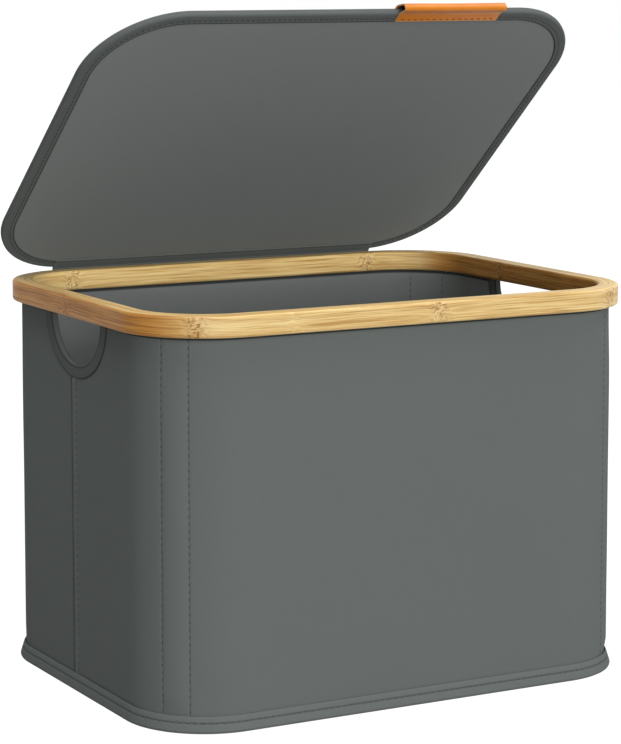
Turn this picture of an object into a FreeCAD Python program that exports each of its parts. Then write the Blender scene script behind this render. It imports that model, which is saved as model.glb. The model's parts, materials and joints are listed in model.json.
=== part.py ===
import FreeCAD, Part

import math
import os

# Laundry hamper with a bamboo rim, cloth-covered board walls and a hinged lid. Millimetres, +Z up.
# Origin: centre of the underside. +X runs along the front to the right, +Y from the front to the back.

# ---------------------------------------------------------------- driving dimensions
RIM_LENGTH = 480.0          # outer size of the bamboo rim along X
RIM_DEPTH = 371.0           # and along Y
RIM_CORNER = 79.0           # its outer corner radius
RIM_TOP = 347.0             # height of its top face
RIM_TALL = 19.6
RIM_THICK = 18.2
RIM_ROUND = 2.2             # rounding of its edges
RIM_INNER_ROUND = 3.0       # rounding of its lower inner edge

SETBACK = 8.3               # from the rim's outer face in to the wall's outer face
COVER = 1.0                 # thickness of the outer cloth
BOARD = 2.4                 # thickness of the stiffener boards
LINING = 0.8                # thickness of the inner cloth
GAP = 0.1                   # between layers that lie against each other
SEAM_GAP = 0.4              # between the edges of two pieces that are sewn or butted together
SEAM_Y = 9.0                # the side seams, a little behind the middle

GROOVE_DEEP = 12.0          # groove in the rim's underside
GROOVE_OUTSIDE = 1.6        # room in it outside the walls, which takes the hinge strip
GROOVE_INSIDE = 0.3         # and inside them
WALL_IN_GROOVE = 11.0       # how far the walls stand in it

HOLE_HALF_WIDTH = 51.5      # hand hole: half an ellipse under the rim
HOLE_DEEP = 42.0
HOLE_TUCK = 0.6             # its straight top edge is hidden this far inside the groove
TAPE = 0.9                  # thickness of the binding tape round it
TAPE_WIDE = 12.5            # width of the tape beside the hole
TAPE_WIDE_BELOW = 10.0      # and below it

BAND_TALL = 14.2            # flared band round the foot
BAND_FLARE = 6.0            # how far it stands out at the floor
BAND_LIP = 1.4              # and at its top
BAND_ROUND = 2.4

INSERT_INSET = 6.0          # loose bottom board: from the wall's outer face in to its cloth
INSERT_BOARD = 3.0
INSERT_CLOTH = 0.8
INSERT_TURN_IN = 30.0       # cloth folded round to its underside

LID_LENGTH = 481.8
LID_DEPTH = 372.4
LID_CORNER = 81.0
LID_HEM = 6.6               # thickness at the bound edge
LID_BOARD = 3.6
LID_CLOTH = 0.7
LID_GAP = 1.3               # between the rim and the closed lid's hem at the hinge
HEM_WIDE = 10.2             # width of the edge binding on each face
HEM_TAPE = 0.7              # its thickness on the faces
HEM_EDGE = 1.0              # and round the edge
HEM_ROUND = 1.8

HINGE_Y = 189.2             # axis of the cloth hinge, parallel to X
HINGE_Z = 334.1
LID_OPEN = 39.9             # how far open the lid stands at rest, in degrees

STRIP = 1.0                 # hinge strip: thickness
STRIP_TOP = 339.0           # width where it is sewn to the lid
STRIP_FOOT = 347.0          # width behind the rim
STRIP_SEWN = 10.7           # how much of it lies on the lid's inner face
STRIP_CLEAR = 0.25          # room between it and the rim
STRIP_FREE = 331.5          # height where it leaves the rim's rear face

TAB_LEFT = 35.2             # leather pull tab, right of the middle
TAB_RIGHT = 138.4
TAB_LEATHER = 1.4
TAB_LEG = 8.4               # how far its two ends lie on the lid, in from the front edge
TAB_PROUD = 17.7            # how far its fold stands out
TAB_FOLD = 3.0              # height of the fold, between the middles of the leather
TAB_BEND = 1.4              # bend radius of its corners
TAB_DROP = 3.0              # how far the fold hangs below the lower end
TAB_TUCK = 1.3              # height above the lid's lower face where the upper leg meets the edge

# ---------------------------------------------------------------- worked out from them
RIM_UNDER = RIM_TOP - RIM_TALL
WALL_LENGTH = RIM_LENGTH - 2 * SETBACK
WALL_DEPTH = RIM_DEPTH - 2 * SETBACK
WALL_CORNER = RIM_CORNER - SETBACK
WALL_TOP = RIM_UNDER + WALL_IN_GROOVE
WALL_FOOT = COVER + GAP
BOARD_FROM = COVER + GAP
BOARD_TO = BOARD_FROM + BOARD
LINING_FROM = BOARD_TO + GAP
WALL_THICK = LINING_FROM + LINING
LID_MIDDLE = RIM_TOP + LID_GAP + LID_HEM / 2
LID_BACK = LID_DEPTH / 2
FAR = 1000.0                # larger than the hamper: for cutting tools

RIM = (RIM_LENGTH, RIM_DEPTH, RIM_CORNER)
WALL = (WALL_LENGTH, WALL_DEPTH, WALL_CORNER)
LID = (LID_LENGTH, LID_DEPTH, LID_CORNER)


# ---------------------------------------------------------------- plain shapes
def vec(x, y, z):
    return FreeCAD.Vector(x, y, z)


def box(x0, x1, y0, y1, z0, z1):
    """A block between two corners."""
    return Part.makeBox(x1 - x0, y1 - y0, z1 - z0, vec(x0, y0, z0))


def inset(outline, by):
    """The same rounded rectangle, drawn in by that much all round."""
    length, depth, corner = outline
    return (length - 2 * by, depth - 2 * by, corner - by)


def slab(outline, z0, z1):
    """A rounded rectangle raised from z0 to z1."""
    length, depth, corner = outline
    plate = box(-length / 2, length / 2, -depth / 2, depth / 2, z0, z1)
    upright = [e for e in plate.Edges if abs(e.BoundBox.ZLength - (z1 - z0)) < 1e-6]
    return plate.makeFillet(corner, upright)


def shell(outline, inner, outer, z0, z1):
    """An upright wall that follows the outline, from `outer` to `inner` in from it."""
    return slab(inset(outline, outer), z0, z1).cut(slab(inset(outline, inner), z0 - 1, z1 + 1))


def corner_points(before, corner, after, radius):
    """Where a round of that radius starts, its middle and its end, at a corner between two lines."""
    to_before = (before - corner).normalize()
    to_after = (after - corner).normalize()
    half = to_before.getAngle(to_after) / 2
    reach = radius / math.tan(half)
    middle_way = (to_before + to_after).normalize()
    middle = corner + middle_way * (radius / math.sin(half) - radius)
    return corner + to_before * reach, middle, corner + to_after * reach


def rounded_face(corners):
    """A flat face from corners given as (point, radius): straight sides joined by tangent arcs."""
    count = len(corners)
    edges = []
    ends = []
    for i, (point, radius) in enumerate(corners):
        before = corners[i - 1][0]
        after = corners[(i + 1) % count][0]
        if radius > 0:
            start, middle, end = corner_points(before, point, after, radius)
            edges.append(Part.Arc(start, middle, end).toShape())
            ends.append((start, end))
        else:
            ends.append((point, point))
    for i in range(count):
        start = ends[i - 1][1]
        end = ends[i][0]
        if start.distanceToPoint(end) > 1e-6:
            edges.append(Part.makeLine(start, end))
    return Part.Face(Part.Wire(Part.__sortEdges__(edges)))


def ring(outline, section):
    """Carries a section round a rounded rectangle.

    The section is a list of (outwards, height, radius) corners, outwards counted from the outline.
    """
    length, depth, corner = outline
    half_x = length / 2 - corner
    half_y = depth / 2 - corner
    face = rounded_face([(vec(corner + out, 0, z), r) for out, z, r in section])
    up = vec(0, 0, 1)
    pieces = []
    for quarter, (x, y) in enumerate([(1, 1), (-1, 1), (-1, -1), (1, -1)]):
        start = face.copy()
        start.rotate(vec(0, 0, 0), up, 90 * quarter)
        start.translate(vec(x * half_x, y * half_y, 0))
        pieces.append(start.revolve(vec(x * half_x, y * half_y, 0), up, 90))
        along = [vec(0, -2 * half_y, 0), vec(2 * half_x, 0, 0)][quarter % 2]
        pieces.append(start.extrude(along if quarter < 2 else along * -1))
    return pieces[0].multiFuse(pieces[1:]).removeSplitter()


def hole_shape(x0, x1, margin_beside=0.0, margin_below=0.0, tuck=0.0):
    """A hand hole raised from x0 to x1: the lower half of an ellipse whose straight side is under the rim.

    The margins make it larger, and tuck raises its top edge into the rim's groove.
    """
    half_width = HOLE_HALF_WIDTH + margin_beside
    deep = HOLE_DEEP + margin_below
    centre = vec(x0, 0, RIM_UNDER)
    curve = Part.Ellipse(vec(x0, half_width, RIM_UNDER), vec(x0, 0, RIM_UNDER - deep), centre)
    front, back = vec(x0, -half_width, RIM_UNDER), vec(x0, half_width, RIM_UNDER)
    edges = [Part.ArcOfEllipse(curve, 0, math.pi).toShape()]
    rise = vec(0, 0, tuck)
    if tuck > 0:
        edges += [Part.makeLine(front, front + rise), Part.makeLine(back + rise, back)]
    edges.append(Part.makeLine(front + rise, back + rise))
    outline = Part.Wire(Part.__sortEdges__(edges))
    return Part.Face(outline).extrude(vec(x1 - x0, 0, 0))


def band(line, thick):
    """Corners of a strip of even thickness along a line of (y, z, radius) points."""
    points = [vec(0, y, z) for y, z, r in line]
    radii = [r for y, z, r in line]
    last = len(points) - 1
    left, right = [], []
    for i, point in enumerate(points):
        back = (points[i] - points[i - 1]).normalize() if i > 0 else None
        ahead = (points[i + 1] - points[i]).normalize() if i < last else None
        way = (back or ahead) + (ahead or back)
        way.normalize()
        across = vec(0, -way.z, way.y)
        mitre = way.dot(back or ahead)
        turn = (back or ahead).cross(ahead or back).x
        side = across * (thick / 2 / mitre)
        sign = 1 if turn > 0 else -1
        inner = max(radii[i] - thick / 2, 0) if radii[i] else 0
        outer = radii[i] + thick / 2 if radii[i] else 0
        left.append((point + side, inner if sign > 0 else outer))
        right.append((point - side, outer if sign > 0 else inner))
    return left + right[::-1]


# ---------------------------------------------------------------- basket
def with_hand_holes(layer):
    """A wall layer with both hand holes cut through it, with room for their tape."""
    room = TAPE + GAP
    return layer.cut(hole_shape(-FAR, FAR, room, room, HOLE_TUCK))


def bamboo_rim():
    """Bent bamboo ring: rounded edges, and a groove underneath for the walls."""
    low = RIM_UNDER
    roof = RIM_UNDER + GROOVE_DEEP
    groove_out = -SETBACK + GROOVE_OUTSIDE
    groove_in = -SETBACK - WALL_THICK - GROOVE_INSIDE
    section = [
        (0, low, RIM_ROUND),
        (0, RIM_TOP, RIM_ROUND),
        (-RIM_THICK, RIM_TOP, RIM_ROUND),
        (-RIM_THICK, low, RIM_INNER_ROUND),
        (groove_in, low, 0),
        (groove_in, roof, 0),
        (groove_out, roof, 0),
        (groove_out, low, 0),
    ]
    return ring(RIM, section)


def wall_halves(outer, thick):
    """A wall layer all round, parted at the side seams into a front and a back piece."""
    layer = shell(WALL, outer + thick, outer, WALL_FOOT, WALL_TOP)
    layer = with_hand_holes(layer)
    front = box(-FAR, FAR, -FAR, SEAM_Y - SEAM_GAP / 2, -FAR, FAR)
    back = box(-FAR, FAR, SEAM_Y + SEAM_GAP / 2, FAR, -FAR, FAR)
    return layer.common(front), layer.common(back)


def wall_boards():
    """Four boards, each flat with its ends bent half way round a corner, where they meet."""
    layer = shell(WALL, BOARD_TO, BOARD_FROM, WALL_FOOT, WALL_TOP)
    layer = with_hand_holes(layer)
    half_x = WALL_LENGTH / 2 - WALL_CORNER
    half_y = WALL_DEPTH / 2 - WALL_CORNER
    shift = SEAM_GAP / 2 * math.sqrt(2)
    front = [(-half_x - FAR + shift, -half_y - FAR), (half_x + FAR - shift, -half_y - FAR),
             (half_x - shift, -half_y), (-half_x + shift, -half_y)]
    left = [(-half_x - FAR, -half_y - FAR + shift), (-half_x, -half_y + shift),
            (-half_x, half_y - shift), (-half_x - FAR, half_y + FAR - shift)]
    tools = {
        "front_board": front,
        "back_board": [(x, -y) for x, y in front],
        "left_board": left,
        "right_board": [(-x, y) for x, y in left],
    }
    boards = {}
    for name, outline in tools.items():
        points = [vec(x, y, -1) for x, y in outline]
        tool = Part.Face(Part.makePolygon(points + points[:1])).extrude(vec(0, 0, RIM_TOP))
        boards[name] = layer.common(tool)
    return boards


def base_cloths():
    """Cloth under the hamper, and the lining of its floor inside the walls."""
    cover = slab(WALL, 0, COVER)
    lining_foot = COVER + GAP
    lining = slab(inset(WALL, WALL_THICK + GAP), lining_foot, lining_foot + LINING)
    return cover, lining


def base_binding():
    """Flared band of folded tape that closes the seam between walls and base."""
    section = [
        (GAP, 0, 0),
        (BAND_FLARE, 0, BAND_ROUND),
        (BAND_LIP, BAND_TALL, BAND_LIP / 3),
        (GAP, BAND_TALL, 0),
    ]
    return ring(WALL, section)


def bottom_insert():
    """Loose bottom board, and the cloth wrapped over it and turned in underneath."""
    low = COVER + GAP + LINING + GAP
    board_low = low + INSERT_CLOTH + GAP / 2
    board_top = board_low + INSERT_BOARD
    top = board_top + GAP / 2 + INSERT_CLOTH
    outline = inset(WALL, INSERT_INSET)
    board = slab(inset(outline, INSERT_CLOTH + GAP), board_low, board_top)
    wrap = slab(outline, low, top)
    wrap = wrap.cut(slab(inset(outline, INSERT_CLOTH), low + INSERT_CLOTH, top - INSERT_CLOTH))
    wrap = wrap.cut(slab(inset(outline, INSERT_TURN_IN), low - 1, low + INSERT_CLOTH + 1))
    return board, wrap


def hole_binding(side):
    """Tape folded over the edge of one hand hole, from the outside of the wall to the inside."""
    outer_face = WALL_LENGTH / 2 + TAPE
    inner_face = WALL_LENGTH / 2 - WALL_THICK - TAPE
    tape = hole_shape(inner_face, outer_face, TAPE_WIDE, TAPE_WIDE_BELOW)
    tape = tape.cut(hole_shape(0, FAR, tuck=GAP))
    between = box(inner_face + TAPE - GAP / 2, outer_face - TAPE + GAP / 2, -FAR, FAR, 0, FAR)
    tape = tape.cut(between.cut(hole_shape(0, FAR, TAPE, TAPE, GAP)))
    tape = tape.cut(box(0, FAR, -FAR, FAR, RIM_UNDER - GAP, FAR))
    if side < 0:
        tape = tape.mirror(vec(0, 0, 0), vec(1, 0, 0))
    return tape


# ---------------------------------------------------------------- lid
def opened(shape):
    """Turns a piece of the closed lid about the hinge to where the lid stands at rest."""
    turned = shape.copy()
    turned.rotate(vec(0, HINGE_Y, HINGE_Z), vec(1, 0, 0), -LID_OPEN)
    return turned


def opened_point(y, z):
    """Where a point (y, z) of the closed lid is at rest."""
    angle = math.radians(LID_OPEN)
    dy, dz = y - HINGE_Y, z - HINGE_Z
    return (
        HINGE_Y + dy * math.cos(angle) + dz * math.sin(angle),
        HINGE_Z - dy * math.sin(angle) + dz * math.cos(angle),
    )


def lid_panel():
    """Board and the two cloths that lie on it, all inside the edge binding."""
    half = LID_BOARD / 2
    cloth_from = half + GAP / 2
    cloth_to = cloth_from + LID_CLOTH
    outline = inset(LID, HEM_EDGE + GAP)
    board = slab(outline, LID_MIDDLE - half, LID_MIDDLE + half)
    top = slab(outline, LID_MIDDLE + cloth_from, LID_MIDDLE + cloth_to)
    inner = slab(outline, LID_MIDDLE - cloth_to, LID_MIDDLE - cloth_from)
    return board, top, inner


def lid_binding():
    """Tape folded over the lid's edge; its inner side stops where the hinge strip is sewn on."""
    half = LID_HEM / 2
    low, high = LID_MIDDLE - half, LID_MIDDLE + half
    section = [
        (-HEM_WIDE, low, 0),
        (0, low, HEM_ROUND),
        (0, high, HEM_ROUND),
        (-HEM_WIDE, high, 0),
        (-HEM_WIDE, high - HEM_TAPE, 0),
        (-HEM_EDGE, high - HEM_TAPE, 0),
        (-HEM_EDGE, low + HEM_TAPE, 0),
        (-HEM_WIDE, low + HEM_TAPE, 0),
    ]
    tape = ring(LID, section)
    reach = STRIP_TOP / 2 + SEAM_GAP
    bed = box(-reach, reach, LID_BACK - HEM_WIDE - 1, FAR, low - 1, low + HEM_TAPE)
    return tape.cut(bed)


def hinge_strip():
    """Cloth strip: out of the rim's groove, round its outer lip, up behind it, and on to the lid."""
    in_groove = WALL_DEPTH / 2 + GROOVE_OUTSIDE / 2
    under = RIM_UNDER - STRIP_CLEAR - STRIP / 2
    behind = RIM_DEPTH / 2 + STRIP_CLEAR + STRIP / 2
    sewn = LID_MIDDLE - LID_HEM / 2 + HEM_TAPE - GAP - STRIP / 2
    edge_y, edge_z = opened_point(LID_BACK + STRIP_CLEAR + STRIP / 2, sewn)
    end_y, end_z = opened_point(LID_BACK - STRIP_SEWN, sewn)
    line = [
        (in_groove, WALL_TOP - 1, 0),
        (in_groove, under, STRIP),
        (behind, under, STRIP),
        (behind, STRIP_FREE, 3 * STRIP),
        (edge_y, edge_z, STRIP),
        (end_y, end_z, 0),
    ]
    half_foot, half_top = STRIP_FOOT / 2, STRIP_TOP / 2
    profile = rounded_face(band(line, STRIP))
    profile.translate(vec(-half_foot, 0, 0))
    strip = profile.extrude(vec(2 * half_foot, 0, 0))
    straight = RIM_LENGTH / 2 - RIM_CORNER
    for side in (-1, 1):
        corners = [
            vec(side * half_foot, 0, STRIP_FREE),
            vec(side * half_top, 0, edge_z),
            vec(side * half_top, 0, FAR),
            vec(side * FAR, 0, FAR),
            vec(side * FAR, 0, STRIP_FREE),
        ]
        taper = Part.Face(Part.makePolygon(corners + corners[:1])).extrude(vec(0, FAR, 0))
        past_straight = box(*sorted([side * straight, side * FAR]), 0, in_groove + STRIP,
                            RIM_UNDER - STRIP_CLEAR / 2, FAR)
        strip = strip.cut(taper).cut(past_straight)
    return strip


def pull_tab():
    """Leather strap folded double: both ends lie on the lid's hem, and the hollow fold hangs out in front."""
    half = TAB_LEATHER / 2
    face = LID_HEM / 2 + GAP / 2 + half
    low, high = LID_MIDDLE - face, LID_MIDDLE + face
    front = -LID_BACK - GAP - half
    inside = -LID_BACK + TAB_LEG
    fold = -LID_BACK - TAB_PROUD + half
    line = [
        (inside, low, 0),
        (front - half, low, 12),
        (fold, low - TAB_DROP, TAB_BEND),
        (fold, low - TAB_DROP + TAB_FOLD, TAB_BEND),
        (front, LID_MIDDLE - LID_HEM / 2 + TAB_TUCK + half, 2),
        (front, high, HEM_ROUND + half / 2),
        (inside, high, 0),
    ]
    profile = rounded_face(band(line, TAB_LEATHER))
    profile.translate(vec(TAB_LEFT, 0, 0))
    return profile.extrude(vec(TAB_RIGHT - TAB_LEFT, 0, 0))


# ---------------------------------------------------------------- the whole hamper
def hamper():
    """All pieces by name."""
    pieces = {"bamboo_rim": bamboo_rim()}
    pieces["front_cover"], pieces["back_cover"] = wall_halves(0, COVER)
    pieces["front_lining"], pieces["back_lining"] = wall_halves(LINING_FROM, LINING)
    pieces.update(wall_boards())
    pieces["base_cover"], pieces["base_lining"] = base_cloths()
    pieces["base_binding"] = base_binding()
    pieces["bottom_board"], pieces["bottom_board_cover"] = bottom_insert()
    pieces["left_hole_binding"] = hole_binding(-1)
    pieces["right_hole_binding"] = hole_binding(1)
    pieces["hinge_strip"] = hinge_strip()
    board, top, inner = lid_panel()
    lid = {
        "lid_board": board,
        "lid_top_cover": top,
        "lid_inner_cover": inner,
        "lid_binding": lid_binding(),
        "pull_tab": pull_tab(),
    }
    for name, shape in lid.items():
        pieces[name] = opened(shape)
    return pieces


os.makedirs("parts", exist_ok=True)
for name, shape in hamper().items():
    shape.exportStep(os.path.join("parts", name + ".step"))
    solids = shape.Solids
    print(f"{name}: {len(solids)} solid, valid {shape.isValid()}, {shape.Volume / 1000:.1f} cm3")
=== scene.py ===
"""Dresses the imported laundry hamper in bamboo, cloth, leather and thread, then sets light and camera."""
import json
import logging
import math
from collections.abc import Callable
from dataclasses import dataclass
from enum import Enum
from functools import cache, reduce

import bpy
import numpy as np
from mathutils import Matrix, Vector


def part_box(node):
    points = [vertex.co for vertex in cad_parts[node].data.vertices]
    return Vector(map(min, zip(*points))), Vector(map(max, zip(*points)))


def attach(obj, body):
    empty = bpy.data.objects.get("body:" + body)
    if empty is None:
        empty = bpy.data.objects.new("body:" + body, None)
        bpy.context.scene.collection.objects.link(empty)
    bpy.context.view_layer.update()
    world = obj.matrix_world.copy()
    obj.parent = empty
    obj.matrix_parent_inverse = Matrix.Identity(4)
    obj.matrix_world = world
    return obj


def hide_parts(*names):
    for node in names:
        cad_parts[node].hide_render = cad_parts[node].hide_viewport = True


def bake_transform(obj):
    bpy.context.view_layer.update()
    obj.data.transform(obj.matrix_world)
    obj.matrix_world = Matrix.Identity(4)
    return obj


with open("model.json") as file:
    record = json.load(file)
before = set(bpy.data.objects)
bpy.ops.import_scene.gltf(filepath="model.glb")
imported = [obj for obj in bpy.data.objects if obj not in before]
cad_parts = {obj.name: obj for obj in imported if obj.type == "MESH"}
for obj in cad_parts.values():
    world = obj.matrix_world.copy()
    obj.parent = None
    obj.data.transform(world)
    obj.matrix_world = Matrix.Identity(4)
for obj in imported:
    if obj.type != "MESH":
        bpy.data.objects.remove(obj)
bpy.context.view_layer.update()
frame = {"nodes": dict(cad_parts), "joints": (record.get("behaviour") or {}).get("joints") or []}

LOG = logging.getLogger("hamper")
MM = 0.001
WALL_NODES = ("front_cover", "back_cover")
WALL_CORNER = 70.7 * MM
WALL_THICK = 4.4 * MM


def extent(*nodes: str) -> tuple[np.ndarray, np.ndarray]:
    """Lowest and highest corner of some CAD nodes together, in metres."""
    corners = np.array([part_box(node) for node in nodes])
    return corners[:, 0].min(axis=0), corners[:, 1].max(axis=0)


# --- outlines ---
@dataclass(frozen=True)
class Outline:
    """A rounded rectangle seen from above.

    It is the rectangle of its corners' centres grown by the corner radius, so a point on it is
    centre(s) + (radius + out) * normal(s), where s is the arc length from the middle of the back,
    past the left side, the front and the right side. Both centre and normal angle are linear in s
    between the ends of the straights and corners.
    """

    length: float
    depth: float
    corner: float

    @property
    def half_x(self) -> float:
        """Half the straight stretch along X."""
        return self.length / 2 - self.corner

    @property
    def half_y(self) -> float:
        """Half the straight stretch along Y."""
        return self.depth / 2 - self.corner

    @property
    def knots(self) -> np.ndarray:
        """Arc lengths where straights and corners begin.

        Returns:
            Ten lengths: middle of the back, back left corner, left side, front left corner, front, front
            right corner, right side, back right corner, back, and the whole length.
        """
        bend = math.pi / 2 * self.corner
        side, front = [bend, 2 * self.half_y], [bend, 2 * self.half_x]
        return np.cumsum([0, self.half_x, *side, *front, *side, bend, self.half_x])

    @property
    def perimeter(self) -> float:
        """Whole length round."""
        return float(self.knots[-1])

    @classmethod
    def around(cls, corner: float, *nodes: str) -> "Outline":
        """The outline of some CAD nodes together."""
        low, high = extent(*nodes)
        return cls(high[0] - low[0], high[1] - low[1], corner)

    def inset(self, by: float) -> "Outline":
        """The same outline drawn in by that much all round."""
        return Outline(self.length - 2 * by, self.depth - 2 * by, self.corner - by)

    def trace(self, s: np.ndarray) -> tuple[np.ndarray, np.ndarray]:
        """Corner centres and outward normals at arc lengths s, which may run past the perimeter.

        Args:
            s: arc lengths (n,).

        Returns:
            Centres (n, 2) and unit normals (n, 2).
        """
        s = np.mod(s, self.perimeter)
        x, y = self.half_x, self.half_y
        centre_x = np.interp(s, self.knots, [0, -x, -x, -x, -x, x, x, x, x, 0])
        centre_y = np.interp(s, self.knots, [y, y, y, -y, -y, -y, -y, y, y, y])
        angle = np.interp(s, self.knots, np.radians([90, 90, 180, 180, 270, 270, 360, 360, 450, 450]))
        return np.stack([centre_x, centre_y], -1), np.stack([np.cos(angle), np.sin(angle)], -1)

    def sweep(self, s: np.ndarray, out: np.ndarray, height: np.ndarray) -> np.ndarray:
        """Carries a profile of (out, height) round the outline.

        Args:
            s: stations along the outline (n,).
            out: how far each profile point stands outside the outline, (k,) or (n, k).
            height: its height, (k,) or (n, k).

        Returns:
            Points (n, k, 3).
        """
        centre, normal = self.trace(s)
        shape = (len(s), np.shape(out)[-1])
        reach = np.broadcast_to(self.corner + out, shape)[..., None]
        flat = centre[:, None] + reach * normal[:, None]
        return np.concatenate([flat, np.broadcast_to(height, shape)[..., None]], -1)

    def line(self, s: np.ndarray, out: np.ndarray | float,
             height: np.ndarray | float) -> tuple[np.ndarray, np.ndarray]:
        """A line of points beside the outline, and its outward normals.

        Args:
            s: stations along the outline (n,).
            out: how far the line stands outside it, one for all or (n, 1).
            height: its height, (n,) or one for all.

        Returns:
            Points and normals, each (n, 3).
        """
        centre, normal = self.trace(s)
        level = np.zeros(len(s))
        points = np.column_stack([centre + (self.corner + out) * normal, level + height])
        return points, np.column_stack([normal, level])

    def edge_distance(self, x: np.ndarray, y: np.ndarray) -> np.ndarray:
        """Distance in from the outline: its radius minus the distance past the corner centres.

        Args:
            x: places of points inside it.
            y: the same along Y.

        Returns:
            Distances, in the shape of x.
        """
        past_x = np.abs(x) - self.half_x
        past_y = np.abs(y) - self.half_y
        beyond = np.hypot(np.maximum(past_x, 0), np.maximum(past_y, 0))
        return self.corner - beyond - np.minimum(np.maximum(past_x, past_y), 0)

    def plate(self, across: int, deep: int) -> tuple[np.ndarray, np.ndarray]:
        """A grid that fills the outline, closer together near its edge.

        Column x runs from front to back over the depth that the outline has there:
        half depth = D/2 - (R - sqrt(R^2 - (|x| - half_x)^2)) where |x| is past the straight stretch.

        Args:
            across: number of columns.
            deep: number of points in a column.

        Returns:
            x and y, each (across, deep).
        """
        x_share, y_share = (np.sin(np.linspace(-1, 1, count) * math.pi / 2) for count in (across, deep))
        x = self.length / 2 * x_share[:, None]
        past = np.clip(np.abs(x) - self.half_x, 0, self.corner)
        y = (self.half_y + np.sqrt(np.maximum(self.corner ** 2 - past ** 2, 0))) * y_share
        return np.broadcast_to(x, y.shape), y

    def flat_area(self) -> float:
        """Area inside the outline."""
        return self.length * self.depth - (4 - math.pi) * self.corner ** 2

    def unrolled(self, s: np.ndarray, section: np.ndarray) -> np.ndarray:
        """UV of a closed section carried all the way round, from stations s."""
        return flat_grid(np.append(s, self.perimeter), run_length(section, closed=True))


def stations(start: float, end: float, step: float, close_to: tuple[float, ...] = (),
             offsets: tuple[float, ...] = ()) -> np.ndarray:
    """Even stations from start to end, with more of them round some places.

    Args:
        start: first station.
        end: last station.
        step: largest distance between stations.
        close_to: places that get more stations.
        offsets: distances from such a place to its extra stations, used on both sides.

    Returns:
        Rising stations, no two closer than a hundredth of a millimetre.
    """
    even = np.linspace(start, end, max(2, math.ceil((end - start) / step) + 1))
    extra = np.array(close_to)[:, None] + np.array([*offsets, *(-o for o in offsets)])
    every = np.sort(np.concatenate([even, extra.ravel()]))
    every = every[(every >= start) & (every <= end)]
    return every[np.concatenate([[True], np.diff(every) > 0.01 * MM])]


def rounded_line(corners: list[tuple[float, float, float]], closed: bool, steps: int = 5,
                 longest: float | None = None) -> np.ndarray:
    """A line through (a, b, radius) corners, each replaced by a tangent arc.

    The arc about a corner is centre + r * u(t), where u turns from one tangent point's direction to the
    other's by spherical interpolation.

    Args:
        corners: corner points with their radii, which are 0 at the ends of an open line.
        closed: whether the last corner joins the first.
        steps: pieces per arc.
        longest: adds points so that no two are further apart than this.

    Returns:
        Points (k, 2).
    """
    points = np.array([c[:2] for c in corners], float)
    line = []
    for i, (*_, radius) in enumerate(corners):
        if radius <= 0:
            line.append(points[i][None])
            continue
        back, ahead = unit(points[i - 1] - points[i]), unit(points[(i + 1) % len(points)] - points[i])
        half = math.acos(np.clip(back @ ahead, -1, 1)) / 2
        middle = points[i] + unit(back + ahead) * radius / math.sin(half)
        first = points[i] + back * radius / math.tan(half) - middle
        last = points[i] + ahead * radius / math.tan(half) - middle
        turn = math.pi - 2 * half
        t = np.linspace(0, 1, steps + 1)[:, None]
        line.append(middle + (np.sin((1 - t) * turn) * first + np.sin(t * turn) * last) / math.sin(turn))
    whole = np.concatenate(line)
    return densify(whole, longest, closed) if longest else whole


def densify(line: np.ndarray, step: float, closed: bool) -> np.ndarray:
    """Adds points to a line so that no two are further apart than step.

    Args:
        line: its points (n, 2).
        step: the largest distance.
        closed: whether the last point joins the first.

    Returns:
        Points (k, 2).
    """
    along = run_length(line, closed)
    loop = np.concatenate([line, line[:1]]) if closed else line
    counts = np.maximum(1, np.ceil(np.diff(along) / step).astype(int))
    spots = [np.linspace(along[i], along[i + 1], n, endpoint=False) for i, n in enumerate(counts)]
    return resample(np.concatenate(spots + ([] if closed else [along[-1:]])), along, loop)


def run_length(line: np.ndarray, closed: bool = False) -> np.ndarray:
    """Arc length at each point of a line; a closed one has one more entry, its whole length."""
    loop = np.concatenate([line, line[:1]]) if closed else line
    return np.concatenate([[0], np.cumsum(np.linalg.norm(np.diff(loop, axis=0), axis=1))])


def resample(places: np.ndarray, along: np.ndarray, line: np.ndarray) -> np.ndarray:
    """Points, or other values, of a line at some arc lengths, straight between those given at `along`."""
    return np.stack([np.interp(places, along, values) for values in line.T], -1)


def unit(vectors: np.ndarray) -> np.ndarray:
    """Vectors at length 1."""
    return vectors / np.linalg.norm(vectors, axis=-1, keepdims=True)


def left_of(line: np.ndarray) -> np.ndarray:
    """Normals to the left of an open line: its mean direction at each point, turned by 90 degrees.

    Args:
        line: its points (n, 2).

    Returns:
        Unit normals (n, 2).
    """
    pieces = unit(np.diff(line, axis=0))
    ahead = unit(np.concatenate([pieces[:1], pieces[:-1] + pieces[1:], pieces[-1:]]))
    return np.column_stack([-ahead[:, 1], ahead[:, 0]])


def smooth(x: np.ndarray | float, start: float, end: float) -> np.ndarray:
    """0 before start and 1 after end, as the cubic 3t^2 - 2t^3 between."""
    t = np.clip((np.asarray(x) - start) / (end - start), 0, 1)
    return t * t * (3 - 2 * t)


def dent(x: np.ndarray, at: float, wide: float) -> np.ndarray:
    """A bell of height 1 and half width `wide` at a place: exp(-((x - at) / wide)^2)."""
    return np.exp(-(((x - at) / wide) ** 2))


def near(x: np.ndarray, lines: list[float], wide: float) -> np.ndarray:
    """The sum of a bell on each of some lines, at most 1."""
    return np.clip(sum(dent(x, line, wide) for line in lines), 0, 1)


def drift(a: np.ndarray, b: np.ndarray, seed: int) -> np.ndarray:
    """A slow uneven height: seven sine waves of 70 to 260 mm, each in its own direction.

    Args:
        a: places.
        b: places across them.
        seed: number that sets the waves.

    Returns:
        Heights between about -1 and 1, in the shape of a and b together.
    """
    rng = np.random.default_rng(seed)
    total = np.zeros(np.broadcast(a, b).shape)
    for _ in range(7):
        length = rng.uniform(70, 260) * MM
        turn, phase = rng.uniform(0, math.pi), rng.uniform(0, 2 * math.pi)
        total += np.sin(2 * math.pi * (a * math.cos(turn) + b * math.sin(turn)) / length + phase)
    return total / 3


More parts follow.
